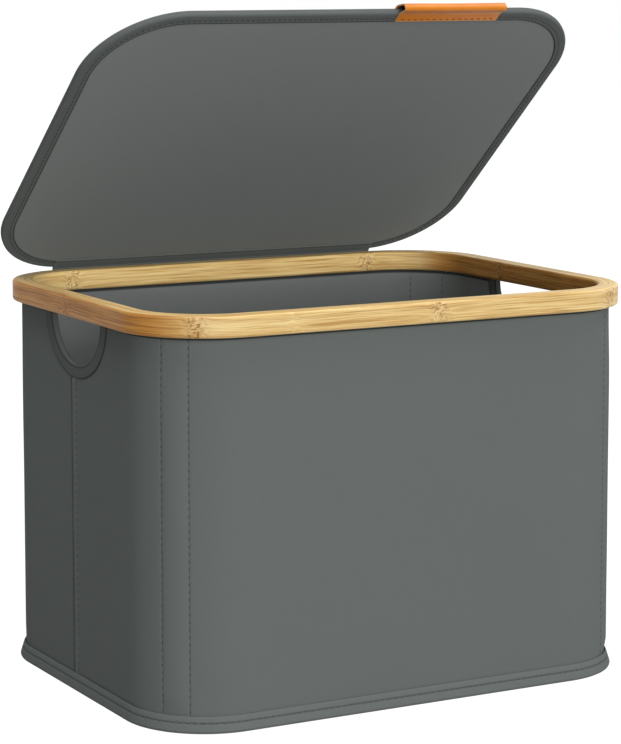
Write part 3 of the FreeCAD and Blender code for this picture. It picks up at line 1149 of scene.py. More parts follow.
@dataclass
class Walls:
    """Cloth outside and lining inside the boards, front and back pieces sewn at the sides."""

    finishes: Finishes
    cover: float = 1.0 * MM
    lining: float = 0.8 * MM
    foot: float = 1.2 * MM
    in_groove: float = 9.5 * MM
    seam_y: float = 9.3 * MM
    seam_row: float = 7.1 * MM
    seam_sunk: float = 0.4 * MM
    overlap: float = 0.2 * MM
    outer_rows: tuple[float, float] = (32.8, 52.2)
    inner_rows: tuple[float, float] = (28.2, 56.4)
    row_deep: float = 0.32 * MM
    row_wide: float = 0.8 * MM
    # painted shade along the rows of stitches, and painted shadow on the cloth just under the rim
    row_painted_shade: float = 0.1
    gap_painted_shadow: float = 0.95
    pucker_wide: float = 2.2 * MM
    bulge: float = 0.8 * MM
    pillow: float = 1.15 * MM
    uneven: float = 0.10 * MM
    rise: float = 18 * MM
    full_above: float = 14 * MM
    flat_below: float = 75 * MM
    flattened: float = 0.85
    lining_follows: float = 0.6
    hole_half: float = 52.4 * MM
    hole_deep: float = 44.2 * MM
    fold: float = 0.8 * MM
    fold_ends: tuple[float, float] = (3 * MM, 11 * MM)
    edge_round: float = 1.5 * MM
    edge_wide: float = 0.8 * MM
    valley: float = 0.75 * MM
    valley_ends: tuple[float, float] = (2.0 * MM, 5.5 * MM)
    gap: float = 2.9 * MM
    row_low: float = 8.0 * MM
    row_high: float = 1.5 * MM
    row_below_hole: float = 10.0 * MM
    levels: int = 64
    column_step: float = 6.0 * MM

    def __post_init__(self) -> None:
        """Reads the wall's size from the frame."""
        self.outline = wall_outline()
        self.rim_under = rim_underside()
        self.band_top = extent("base_binding")[1][2]
        knots, half_y = self.outline.knots, self.outline.half_y
        self.left_seam = knots[2] + half_y - self.seam_y
        self.right_seam = knots[6] + half_y + self.seam_y
        self.side_rows = (self.left_seam + self.seam_row, self.right_seam - self.seam_row)

    def corner_rows(self, angles: tuple[float, float]) -> list[tuple[float, float]]:
        """Arc lengths of the two rows at each corner.

        Args:
            angles: how far round the corner each row is, from its side end, in degrees.

        Returns:
            For each corner the row towards the side and the one towards the front or back.
        """
        side, front = (self.outline.corner * math.radians(a) for a in angles)
        side_ends = [(self.outline.knots[k], ahead) for k, ahead in ((2, -1), (3, 1), (6, -1), (7, 1))]
        return [(knot + ahead * side, knot + ahead * front) for knot, ahead in side_ends]

    def hole_top(self, s: np.ndarray) -> np.ndarray:
        """Height of the cloth's top edge: under the rim, or the half ellipse of a hand hole.

        Args:
            s: stations (n,).

        Returns:
            Heights (n,).
        """
        centre, normal = self.outline.trace(s)
        y = centre[:, 1] + self.outline.corner * normal[:, 1]
        inside = (np.abs(normal[:, 0]) > 0.999) & (np.abs(y) < self.hole_half)
        dip = self.hole_deep * np.sqrt(np.maximum(1 - (y / self.hole_half) ** 2, 0))
        return np.where(inside, self.rim_under - dip, self.rim_under + self.in_groove)

    def columns(self, start: float, end: float, lines: list[float]) -> np.ndarray:
        """Stations of a panel, closer together at its edges, at rows and across the holes.

        Across a hole they are spaced as the cosine, so that its edge is an even curve.

        Args:
            start: first station.
            end: last station.
            lines: the rows of stitches.

        Returns:
            Rising stations.
        """
        beside_row = tuple(x * MM for x in (0, 0.25, 0.5, 0.75, 1.0, 1.3, 1.7, 2.2, 3.0, 4.0))
        edge = np.array([0.05, 0.12, 0.25, 0.4, 0.6, 0.9, 1.4, 2, 3, 4, 5, 6.5, 8, 10]) * MM
        y = self.hole_half * np.concatenate([np.cos(np.linspace(0, math.pi, 33)), [1.0004, -1.0004]])
        knots, half_y, period = self.outline.knots, self.outline.half_y, self.outline.perimeter
        holes = np.concatenate([knots[2] + half_y - y, knots[6] + half_y + y])
        extra = np.concatenate([holes, holes + period, start + edge, end - edge])
        s = stations(start, end, self.column_step, tuple(lines), beside_row)
        s = np.unique(np.concatenate([s, extra[(extra > start) & (extra < end)]]))
        return s[np.concatenate([[True], np.diff(s) > 0.003 * MM])]

    def shares(self) -> np.ndarray:
        """Shares of the panel's height, closer together at both ends and under the rim.

        Returns:
            Rising shares from 0 to 1.
        """
        even = np.linspace(0, 1, self.levels)
        share = 0.55 * even + 0.45 * (0.5 - 0.5 * np.cos(math.pi * even))
        under_rim = self.rim_under + np.array([-6, -4.5, -3.6, -3.2, -2.9, -2.6, -2.3, -2.0, -1.0, 0, 2]) * MM
        return np.union1d(share, (under_rim - self.foot) / (self.rim_under + self.in_groove - self.foot))

    def offset(self, s: np.ndarray, z: np.ndarray, rows: list[tuple[float, float]],
               bulge: float) -> np.ndarray:
        """How far the cloth stands outside the board: full corners, sunk rows and slow drift.

        Between a corner's rows, t runs from 0 at the side's row to 1 at the other, and the cloth stands
        bulge * (1 - t^4) + pillow * 4 t (1 - t) outside. Before the first row it rises over a short way.

        Args:
            s: stations (n, 1).
            z: heights (n, k).
            rows: the corner rows.
            bulge: how far the cloth stands off the corner at the first row.

        Returns:
            Offsets (n, k).
        """
        held = smooth(z, self.band_top - 1 * MM, self.band_top + self.full_above)
        held = held * (1 - self.flattened * smooth(z, self.rim_under - self.flat_below, self.rim_under))
        held = held * (1 - smooth(z, self.rim_under, self.rim_under + 6 * MM))
        total = self.uneven * drift(s, z, 3) * held
        for near_side, near_front in rows:
            past = (s - near_side) * (1.0 if near_front > near_side else -1.0)
            t = np.clip(past / abs(near_front - near_side), 0, 1)
            full = bulge * smooth(past, -self.rise, 0) * (1 - t ** 4)
            total = total + (full + self.pillow * min(bulge / self.bulge, 1) * 4 * t * (1 - t)) * held
            for row in (near_side, near_front):
                total = total - self.row_deep * dent(s, row, self.row_wide)
        return total

    def lap(self, from_edge: np.ndarray | float) -> np.ndarray:
        """How far the front piece's folded edge stands out at a distance from it."""
        return self.fold * (1 - smooth(from_edge, *self.fold_ends))

    def folded(self, from_edge: np.ndarray, z: np.ndarray) -> np.ndarray:
        """The front piece's folded edge: its lap, pressed down beside the hole, with a round edge and a row.

        The edge is a quarter ellipse: edge_round * (1 - sqrt(1 - (1 - e)^2)) lower at
        e = distance / edge_wide.

        Args:
            from_edge: distances from the nearer edge (n, 1).
            z: heights (n, k).

        Returns:
            How far the cloth stands out, (n, k).
        """
        tape_foot = self.rim_under - self.hole_deep - 9 * MM
        pressed = 1 - 0.8 * smooth(z, tape_foot - 4 * MM, tape_foot)
        curl = np.sqrt(1 - (1 - np.clip(from_edge / self.edge_wide, 0, 1)) ** 2)
        return (self.lap(from_edge) * pressed - (1 - curl) * self.edge_round
                - self.seam_sunk * dent(from_edge, self.seam_row, self.row_wide))

    def panel(self, name: str, start: float, end: float, rows: list[tuple[float, float]], outside: bool,
              front: bool) -> tuple[bpy.types.Object, float]:
        """One cloth panel from side seam to side seam.

        The grid's point is centre(s) + (R + out(s, z)) * normal(s) at height z, where z runs from the
        foot to the cloth's top edge at s.

        Args:
            name: the piece's name.
            start: arc length of the first seam.
            end: arc length of the last one.
            rows: arc lengths of the corner rows.
            outside: whether it is a cover, and not a lining.
            front: whether it is the front piece, whose edges are folded over the back piece's.

        Returns:
            The piece and its flat area.
        """
        turns = (0, self.outline.perimeter)
        lines = [line + turn for turn in turns for line in (*np.ravel(rows), *self.side_rows)]
        lines = [line for line in lines if start < line < end]
        s = self.columns(start, end, lines)
        top = self.hole_top(s)
        z = self.foot + (top - self.foot)[:, None] * self.shares()
        every_row = [(side + turn, other + turn) for side, other in rows for turn in turns]
        out = self.offset(s[:, None], z, every_row, self.bulge if outside else 0.0)
        from_edge = np.minimum(s - start, end - s)[:, None]
        # painted shade: along the rows, at the front piece's folded edge, and beside the back piece's edge
        # that lies under it
        fold = self.row_painted_shade * near(s[:, None], lines, self.row_wide)
        if outside and front:
            out = out + self.folded(from_edge, z)
            fold = np.maximum(fold, 1 - smooth(from_edge, 0.1 * MM, 0.6 * MM))
        elif outside:
            out = out - self.valley * (1 - smooth(from_edge, *self.valley_ends))
            fold = np.maximum(fold, 1 - smooth(from_edge, 2.4 * MM, 4.6 * MM))
        # painted shadow on the cloth just under the rim
        gap = self.gap if outside else 1.25 * self.gap
        painted_gap_shadow = self.gap_painted_shadow * smooth(z, self.rim_under - gap, self.rim_under - 0.7 * gap)
        points = self.outline.sweep(s, out if outside else -WALL_THICK - out * self.lining_follows, z)
        paint = {"seam": near(s[:, None], lines, self.pucker_wide), "fold": np.maximum(fold, painted_gap_shadow)}
        piece = grid(name, points, np.stack(np.broadcast_arrays(s[:, None], z), -1), paint=paint,
                     flip=not outside, thick=self.cover if outside else self.lining)
        return piece, float(np.trapz(top - self.foot, s))

    def build(self) -> None:
        """Makes the four panels and their rows of stitches."""
        spans = {"front": (self.left_seam, self.right_seam), "back": (
            self.right_seam - self.overlap, self.outline.perimeter + self.left_seam + self.overlap)}
        for layer, outside, angles, finish, slot in (
                ("cover", True, self.outer_rows, self.finishes.cloth, "outer_cloth"),
                ("lining", False, self.inner_rows, self.finishes.lining, "lining_cloth")):
            rows = self.corner_rows(angles)
            for part, (start, end) in spans.items():
                name = f"{part}_{layer}"
                piece, area = self.panel(f"{name}_cloth", start, end, rows, outside, part == "front")
                dress(piece, finish, slot, Body.BASKET, name)
        self.sew()

    def upright(self, s: float, low: float, high: float, out: float = 0.0,
                facing: int = 1) -> tuple[np.ndarray, np.ndarray]:
        """Points and normals of an upright line on the wall.

        Args:
            s: its station.
            low: its foot.
            high: its top.
            out: how far it stands outside the wall.
            facing: 1 for outward normals, -1 for inward ones.

        Returns:
            Points and normals, each (n, 3).
        """
        z = np.arange(low, high, 1.0 * MM)
        points, normals = self.outline.line(np.full(len(z), s), out, z)
        return points, normals * facing

    def sew(self) -> None:
        """Stitches of the corners and side seams, outside and inside."""
        outer, inner = Stitching(Thread()), Stitching(FINE_THREAD)
        high = self.rim_under + self.row_high
        below_hole = self.rim_under - self.hole_deep - self.row_below_hole
        rows = self.corner_rows(self.outer_rows)
        for row in np.ravel(rows):
            line, normals = self.upright(row, self.band_top, high)
            out = self.offset(np.array([[row]]), line[None, :, 2], rows, self.bulge)[0]
            outer.row(line + normals * out[:, None], normals)
        for row in np.ravel(self.corner_rows(self.inner_rows)):
            inner.row(*self.upright(row, self.row_low, high, -WALL_THICK + 0.3 * MM, -1))
        for row in self.side_rows:
            outer.row(*self.upright(row, self.band_top, below_hole, self.lap(self.seam_row) - self.seam_sunk))
            inner.row(*self.upright(row, self.row_low, below_hole, -WALL_THICK, -1))
        outer.build("wall_stitches", self.finishes.thread, "outer_cloth", Body.BASKET)
        inner.build("lining_stitches", self.finishes.thread, "lining_cloth", Body.BASKET)


@dataclass
class HoleBindings:
    """Tape folded over the edge of each hand hole."""

    finishes: Finishes
    half: float = 51.5 * MM
    deep: float = 43.3 * MM
    beside: float = 12.5 * MM
    below: float = 10.0 * MM
    proud: float = 0.5 * MM
    up: float = 1.5 * MM
    thick: float = 0.25 * MM
    outer_row: float = 0.78
    inner_row: float = 0.2
    row_deep: float = 0.25 * MM
    edge_painted_shade: float = 0.8

    def build(self) -> None:
        """Makes both tapes and their stitches."""
        self.outer_x = extent(*WALL_NODES)[1][0]
        sewn = Stitching(FINE_THREAD)
        for side, name in ((-1, "left_hole_binding"), (1, "right_hole_binding")):
            dress(self.tape(f"{name}_tape", side), self.finishes.hole_tape, "binding_tape", Body.BASKET, name)
            for level, facing in ((self.proud - self.thick, 1), (-WALL_THICK - self.proud + self.thick, -1)):
                line = self.place(120, np.array([self.outer_row]), side * (self.outer_x + level))[:, 0]
                sewn.row(line, np.tile([side * facing, 0.0, 0.0], (len(line), 1)))
        sewn.build("hole_binding_stitches", self.finishes.thread, "binding_tape", Body.BASKET)

    def place(self, steps: int, share: np.ndarray, x: np.ndarray | float) -> np.ndarray:
        """Points of the tape: half ellipses about the middle of the rim's underside.

        The ellipse at a share of the tape's width has the radii half + share * beside and
        deep + share * below. It goes straight up at both ends, into the rim's groove.

        Args:
            steps: points round a half ellipse.
            share: share of the tape's width outside the hole (k,).
            x: distance from the middle plane, (k,) or one for all.

        Returns:
            Points (steps + 6, k, 3).
        """
        turn = np.linspace(0, math.pi, steps)
        rise = np.linspace(1, 0, 3, endpoint=False) * self.up
        cosine, sine, lift = (np.concatenate(parts)[:, None] for parts in (
            [np.ones(3), np.cos(turn), -np.ones(3)], [np.zeros(3), np.sin(turn), np.zeros(3)],
            [rise, np.zeros(steps), rise[::-1]]))
        y = -(self.half + share * self.beside) * cosine
        z = rim_underside() + lift - (self.deep + share * self.below) * sine
        return np.stack(np.broadcast_arrays(x, y, z), -1)

    def tape(self, name: str, side: int) -> bpy.types.Object:
        """The tape: its section runs from the outside, over the hole's edge, to the inside.

        Args:
            name: the piece's name.
            side: -1 for the left wall, 1 for the right one.

        Returns:
            The piece.
        """
        middle, half = -WALL_THICK / 2, WALL_THICK / 2 + self.proud
        face = np.linspace(0.92, 0.08, 16)
        share = np.concatenate([[1.0, 1.0, 0.985, 0.95], face, [0.03, 0.0, 0.0]])
        share = np.concatenate([share, share[::-1]])
        curve = np.concatenate([[-0.2 * MM - middle, half - 0.35 * MM, half - 0.08 * MM, half],
                                np.full(16, half), [half - 0.15 * MM, half - 0.9 * MM, 0.5 * MM]])
        level = np.concatenate([middle + curve, (middle - curve)[::-1]])
        rows = dent(share, self.outer_row, 0.05) + dent(share, self.inner_row, 0.05)
        level = level - np.sign(level - middle) * self.row_deep * rows
        points = self.place(56, share, side * (self.outer_x + level))
        across = np.concatenate([[0], np.cumsum(np.hypot(np.diff(share) * 11 * MM, np.diff(level)))])
        # painted shade at the tape's outer border on the wall, and near the hole's edge on both faces
        inner_edge_shade = dent(share, 0.04, 0.07) * (np.abs(level - middle) > half - 0.6 * MM)
        paint = {"seam": near(share, [self.outer_row, self.inner_row], 0.2),
                 "fold": self.edge_painted_shade * np.maximum(smooth(share, 0.88, 0.96), inner_edge_shade)}
        return grid(name, points, flat_grid(run_length(points[:, 19]), across), paint=paint, flip=side > 0,
                    thick=self.thick)


@dataclass
class Foot:
    """The flared band round the foot, and the cloth-covered board that lies inside."""

    finishes: Finishes
    flare: float = 6.0 * MM
    lip: float = 1.4 * MM
    floor_round: float = 2.4 * MM
    row_height: float = 8.7 * MM
    row_deep: float = 0.5 * MM
    crease_painted_shade: float = 0.42
    ripple: float = 0.2 * MM
    ripple_pitch: float = 6.7 * MM
    ripple_slant: float = 1.6
    sections: int = 900
    insert_inset: float = 6.0 * MM
    insert_round: float = 1.6 * MM
    insert_uneven: float = 0.15 * MM
    cloth: float = 0.8 * MM

    def build(self) -> None:
        """Makes the band, its stitches and the insert's cloth."""
        self.outline = wall_outline()
        self.top = extent("base_binding")[1][2]
        self.band()
        self.insert()
        refinish("base_cover", self.finishes.plain)

    def face(self, height: np.ndarray | float) -> np.ndarray:
        """How far the band stands out: nearly straight from flare to lip, with a crease at the row."""
        lean = self.lip + (self.flare - self.lip) * (1 - height / self.top) ** 0.85
        return lean - self.row_deep * dent(height, self.row_height, 0.8 * MM)

    def section(self) -> np.ndarray:
        """The band's section, as (out, height): its underside, its face and the tip that turns in.

        Returns:
            Points (k, 2), of which the last three lie behind the lip.
        """
        height = np.array([2.6, 3.4, 4.4, 5.4, 6.2, 7.0, 7.6, 8.0, 8.35, 8.7, 9.05, 9.4, 9.8, 10.4, 11.2,
                           12.2, 13.2]) * MM
        outer = np.column_stack([self.face(height), height])
        lower = rounded_line([(0.2 * MM, 0.0, 0), (self.flare + 0.1 * MM, 0.0, self.floor_round),
                              (outer[0, 0], outer[0, 1], 0)], closed=False, steps=6)[:-1]
        tip = np.array([(0.1, -0.35), (-0.15, 0), (-0.6, -0.2), (-0.9, -0.9)]) * MM + (self.lip, self.top)
        return np.concatenate([lower, outer, tip, [[0.2 * MM, self.top - 3.5 * MM]]])

    def band(self) -> None:
        """Carries the band's section round the foot; small slanted puckers ripple its lower part."""
        section = self.section()
        out, height = section.T
        s = np.linspace(0, self.outline.perimeter, self.sections, endpoint=False)
        lower_part = smooth(height, 0.4 * MM, 3 * MM) * (1 - smooth(height, 9 * MM, 13 * MM))
        slant = s[:, None] + self.ripple_slant * height
        ripple = np.sin(2 * math.pi * slant / self.ripple_pitch + 2.0 * drift(s[:, None], 0.0, 21))
        ripple = ripple * smooth(drift(s[:, None], 0.05, 22), -0.4, 0.7)
        points = self.outline.sweep(s, out + self.ripple * ripple * lower_part, height)
        # painted shade: the tip behind the lip is painted dark, and the crease at the row darker
        behind = np.arange(len(section)) >= len(section) - 3
        crease = self.crease_painted_shade * dent(height, self.row_height, 0.7 * MM)
        paint = {"seam": dent(height, self.row_height, 2.5 * MM), "fold": np.maximum(behind, crease)}
        piece = grid("foot_band", points, self.outline.unrolled(s, section), True, paint, crease=60.0)
        dress(piece, self.finishes.band, "binding_tape", Body.BASKET, "base_binding")
        sewn = Stitching(Thread(radius=0.30 * MM))
        line, normals = self.outline.line(s, self.face(self.row_height), self.row_height)
        sewn.row(line, normals + (0, 0, 0.3), closed=True)
        sewn.build("foot_band_stitches", self.finishes.thread, "binding_tape", Body.BASKET)

    def insert(self) -> None:
        """The cloth on the loose bottom board: flat, and curved down as a quarter circle at its edge."""
        top = extent("bottom_board_cover")[1][2]
        outline = self.outline.inset(self.insert_inset)
        x, y = outline.plate(90, 70)
        inwards, curve = outline.edge_distance(x, y), self.insert_round
        down = curve - np.sqrt(np.maximum(curve ** 2 - np.maximum(curve - inwards, 0) ** 2, 0))
        z = top - down + self.insert_uneven * drift(x, y, 8) * smooth(inwards, 2 * MM, 30 * MM)
        points = np.stack([x, y, z], -1)
        piece = grid("bottom_insert_cloth", points, points[..., :2], thick=self.cloth)
        dress(piece, self.finishes.lining, "lining_cloth", Body.BASKET, "bottom_board_cover")
        outline.flat_area()


# --- lid ---
@dataclass
class Lid:
    """Board with cloth on both faces, bound edge, hinge strip and leather tab.

    Shapes are made as on the closed lid, and then opened.
    """

    finishes: Finishes
    length: float = 481.8 * MM
    depth: float = 372.4 * MM
    corner: float = 81.0 * MM
    hem: float = 6.6 * MM
    board: float = 3.6 * MM
    cloth: float = 0.7 * MM
    face_inset: float = 1.1 * MM
    puff: float = 0.35 * MM
    uneven: float = 0.1 * MM
    above_rim: float = 1.3 * MM
    hem_wide: float = 11.4 * MM
    hem_tape: float = 0.7 * MM
    hem_edge: float = 1.0 * MM
    row_in: float = 7.4 * MM
    row_deep: float = 0.26 * MM
    strip: float = 1.0 * MM
    strip_top: float = 339.0 * MM
    strip_foot: float = 347.0 * MM
    strip_sewn: float = 11.9 * MM
    strip_row: float = 2.6 * MM
    strip_clear: float = 0.25 * MM
    tab_left: float = 35.2 * MM
    tab_right: float = 138.4 * MM
    tab_thick: float = 1.4 * MM
    tab_leg: float = 9.6 * MM
    tab_proud: float = 12.5 * MM
    tab_fold: float = 6.2 * MM
    tab_bend: float = 2.0 * MM
    tab_drop: float = 5.0 * MM
    tab_row: float = 2.7 * MM
    open_degrees: float = 39.9

    def __post_init__(self) -> None:
        """Reads hinge and heights from the frame."""
        joint = next(j for j in frame["joints"] if j["name"] == "lid_hinge")
        self.pivot = np.array(joint["pos_m"])
        self.outline = Outline(self.length, self.depth, self.corner)
        self.middle = extent("bamboo_rim")[1][2] + self.above_rim + self.hem / 2

    def opened(self, points: np.ndarray, turn_only: bool = False) -> np.ndarray:
        """Turns points, or directions, of the closed lid about the hinge to the rest pose.

        y' = y cos a + z sin a and z' = -y sin a + z cos a, about the hinge's line.

        Args:
            points: (..., 3).
            turn_only: whether they are directions.

        Returns:
            The turned ones, (..., 3).
        """
        base = np.zeros(3) if turn_only else self.pivot
        moved = np.array(points, float) - base
        opening = math.radians(self.open_degrees)
        cosine, sine = math.cos(opening), math.sin(opening)
        y = moved[..., 1] * cosine + moved[..., 2] * sine
        z = -moved[..., 1] * sine + moved[..., 2] * cosine
        return np.stack([moved[..., 0], y, z], -1) + base

    def build(self) -> None:
        """Makes every piece of the lid."""
        self.faces()
        self.binding()
        self.hinge_strip()
        self.tab()

    def sew(self, sewn: Stitching, line: np.ndarray, side: int, closed: bool = False) -> None:
        """Adds a row on the upper (1) or lower (-1) side of the closed lid, and opens it with the lid."""
        up = np.tile([0.0, 0.0, float(side)], (len(line), 1))
        sewn.row(self.opened(line), self.opened(up, turn_only=True), closed)

    def faces(self) -> None:
        """Both cloths: flat, with a shallow dip towards the binding."""
        outline = self.outline.inset(self.face_inset)
        x, y = outline.plate(120, 96)
        inwards = outline.edge_distance(x, y)
        away = self.board / 2 + 0.05 * MM + self.cloth
        pressed = 0.1 * MM * (1 - smooth(inwards, 8 * MM, 12 * MM))
        puff = self.puff * smooth(inwards, 9 * MM, 26 * MM) - pressed
        paint = {"seam": 0.5 * dent(inwards, self.hem_wide, 3 * MM)}
        for name, side, finish, slot, seed in (
                ("lid_top_cover", 1, self.finishes.cloth, "outer_cloth", 5),
                ("lid_inner_cover", -1, self.finishes.lining, "lining_cloth", 6)):
            height = away + puff + self.uneven * drift(x, y, seed) * smooth(inwards, 12 * MM, 40 * MM)
            points = np.stack([x, y, self.middle + side * height], -1)
            piece = grid(f"{name}_cloth", self.opened(points), points[..., :2], paint=paint, flip=side < 0,
                         thick=self.cloth)
            dress(piece, finish, slot, Body.LID, name)
            outline.flat_area()

    def binding(self) -> None:
        """Tape folded over the edge. Behind the hinge strip its inner side is left out."""
        half, wide, edge, period = self.hem / 2, self.hem_wide, self.hem_edge, self.outline.perimeter
        inner = half - self.hem_tape
        section = rounded_line([
            (0, -half, 2.2 * MM), (0, half, 2.2 * MM), (-wide, half, 0.35 * MM), (-wide, inner, 0),
            (-edge, inner, 0), (-edge, -inner, 0), (-wide, -inner, 0), (-wide, -half, 0.35 * MM),
        ], closed=True, longest=0.6 * MM)
        out, level = section.T
        outer = np.abs(np.abs(level) - half) < 0.05 * MM
        groove = self.row_deep * dent(out, -self.row_in, 0.8 * MM) * outer
        reach = self.strip_top / 2 + 0.4 * MM
        s = stations(0, period, 2.6 * MM, (reach, period - reach), (0.0, 0.05 * MM))[:-1]
        x, y = self.outline.line(s, 0.0, 0.0)[0][:, :2].T
        bed = (np.abs(x) < reach) & (y > 0)
        cut = bed[:, None] & (level < -inner + 0.01 * MM)
        points = self.outline.sweep(s, np.where(cut, np.maximum(out, -1.6 * MM), out),
                                    self.middle + level - np.sign(level) * groove)
        # painted shade along the tape's inner edge on both faces, and a little along the row
        fold = np.maximum(0.1 * dent(out, -self.row_in, 0.8 * MM),
                          1 - smooth(out, -wide + 0.5 * MM, -wide + 1.5 * MM)) * outer
        paint = {"seam": dent(out, -self.row_in + 1 * MM, 3.5 * MM), "fold": fold}
        piece = grid("lid_edge_tape", self.opened(points), self.outline.unrolled(s, section), True, paint,
                     crease=50.0)
        dress(piece, self.finishes.tape, "binding_tape", Body.LID, "lid_binding")
        sewn = Stitching(Thread(pitch=5.0 * MM, radius=0.52 * MM))
        for side, start, end in ((1, 0.0, period), (-1, reach, period - reach)):
            s = np.arange(start, end, 1.5 * MM)
            line = self.outline.line(s, -self.row_in, self.middle + side * (half - 0.15 * MM))[0]
            self.sew(sewn, line, side, closed=side > 0)
        sewn.build("lid_edge_stitches", self.finishes.thread, "binding_tape", Body.LID)

    def hinge_strip(self) -> None:
        """Cloth from the rim's groove, round its outer lip, up behind it and on to the lid's inner face."""
        rim_low, rim_high = extent("bamboo_rim")
        walls_high = extent("back_cover")[1]
        half = self.strip / 2
        in_groove = walls_high[1] + 0.8 * MM
        under = rim_underside() - self.strip_clear - half
        behind = rim_high[1] + self.strip_clear + half
        free = rim_low[2] + 4.1 * MM
        sewn = self.middle - self.hem / 2 + 0.6 * MM - half
        edge = self.opened(np.array([0, self.depth / 2 + self.strip_clear + half, sewn]))
        end = self.opened(np.array([0, self.depth / 2 - self.strip_sewn, sewn]))
        line = rounded_line([
            (in_groove, walls_high[2] - 1 * MM, 0), (in_groove, under, self.strip),
            (behind, under, self.strip), (behind, free, 6 * MM), (edge[1], edge[2], 1.6 * MM),
            (end[1], end[2], 0)], closed=False, steps=8, longest=0.8 * MM)
        along = run_length(line)
        from_end = along[-1] - along
        sunk = dent(from_end, self.strip_row, 0.7 * MM)
        skin = line + left_of(line) * (half - 0.4 * MM * sunk)[:, None]
        narrower = (self.strip_top - self.strip_foot) / 2
        width = self.strip_foot / 2 + narrower * smooth(line[:, 1], free, edge[2])
        x = np.linspace(-1, 1, 120)
        # painted shade in the sunk row
        paint = {"seam": dent(from_end, self.strip_row, 1.6 * MM), "fold": 0.45 * sunk}
        piece = grid("hinge_strip_cloth", carried(x[:, None] * width, skin),
                     flat_grid(x * self.strip_top / 2, along), paint=paint, thick=self.strip)
        dress(piece, self.finishes.strip, "outer_cloth", None, "hinge_strip")
        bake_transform(piece)

    def tab(self) -> None:
        """Leather strap folded double, its ends sewn to the hem and its hollow fold hanging out in front.

        The skin is the strap's middle line, moved out by half the thickness along its left normal.
        """
        half = self.tab_thick / 2
        face = self.hem / 2 + 0.05 * MM + half
        low, high = self.middle - face, self.middle + face
        edge = -self.depth / 2
        front, inside, fold = edge - 0.1 * MM - half, edge + self.tab_leg, edge - self.tab_proud + half
        fold_low = low - self.tab_drop
        line = rounded_line([
            (inside, low, 0), (inside - 0.4 * MM, low, 0), (front - half, low, 12 * MM),
            (fold, fold_low, self.tab_bend), (fold, fold_low + self.tab_fold, self.tab_bend),
            (front - 1 * MM, high, 10 * MM), (inside - 0.4 * MM, high, 0), (inside, high, 0),
        ], closed=False, steps=8, longest=0.9 * MM)
        along = run_length(line)
        from_end = np.minimum(along, along[-1] - along)
        skin = line + left_of(line) * (half - 0.22 * MM * dent(from_end, self.tab_row, 0.7 * MM))[:, None]
        x = np.linspace(self.tab_left + 0.4 * MM, self.tab_right - 0.4 * MM, 60)
        x = np.concatenate([[self.tab_left], x, [self.tab_right]])
        points = carried(x[:, None], skin)
        points[..., 2] += 0.25 * MM * (drift(x[:, None], 0.3, 31) * smooth(-line[:, 0], -edge, -fold))
        raw = ((np.minimum(x - x[0], x[-1] - x) < 0.1 * MM)[:, None] | (from_end < 0.5 * MM)) * 1.0
        piece = grid("leather_pull_tab", self.opened(points), flat_grid(x, along), paint={"edge": raw},
                     thick=self.tab_thick)
        self.shaded_flesh_side(line, x[2:-2])
        rounding = piece.modifiers.new("edge", "BEVEL")
        rounding.width, rounding.segments = 0.3 * MM, 2
        rounding.limit_method, rounding.angle_limit = "ANGLE", math.radians(60)
        dress(piece, self.finishes.leather, "tan_leather", Body.LID, "pull_tab")
        sewn = Stitching(Thread(share=0.55, radius=0.45 * MM, proud=0.35))
        across = np.arange(self.tab_left + 3 * MM, self.tab_right - 3 * MM, 1 * MM)
        for side in (1, -1):
            level = self.middle + side * (face + half - 0.2 * MM)
            self.sew(sewn, carried(across[:, None], np.array([[inside - self.tab_row, level]]))[:, 0], side)
        sewn.build("pull_tab_stitches", self.finishes.tan_thread, "tan_leather", Body.LID)

    def shaded_flesh_side(self, line: np.ndarray, x: np.ndarray) -> None:
        """The strap's rough inner side, coloured nearly black as painted shade for the hollow of its fold, a
        skin just proud of it: its middle line moved in along the normal.

        Args:
            line: the strap's middle line, (k, 2).
            x: its stations across.
        """
        skin = (line - left_of(line) * (self.tab_thick / 2 + 0.05 * MM))[4:-4]
        points = self.opened(carried(x[:, None], skin))
        piece = grid("pull_tab_shaded_flesh_side", points, flat_grid(x, run_length(skin)), flip=True, thick=0.2 * MM)
        dress(piece, self.finishes.flesh_shade, "tan_leather", Body.LID)


# --- studio ---
@dataclass(frozen=True)
class Lamp:
    """An area light that points at the hamper. Strength 1 lights a facing surface as bright as its colour."""

    name: str
    azimuth: float
    elevation: float
    strength: float
    wide: float
    tall: float
    distance: float = 9.0

    def build(self, aim: np.ndarray) -> None:
        """Puts the lamp up: azimuth 0 is in front, positive to the right.

        Args:
            aim: the place that it points at.
        """
        light = bpy.data.lights.new(self.name, "AREA")
        light.shape, light.size, light.size_y = "RECTANGLE", self.wide, self.tall
        light.energy = (math.pi * self.distance) ** 2 * self.strength
        lamp = link(self.name, light)
        a, e = math.radians(self.azimuth), math.radians(self.elevation)
        away = np.array([math.sin(a) * math.cos(e), -math.cos(a) * math.cos(e), math.sin(e)])
        lamp.location = aim + away * self.distance
        lamp.rotation_euler = (math.pi / 2 - e, 0, a)
        lamp.visible_camera = False


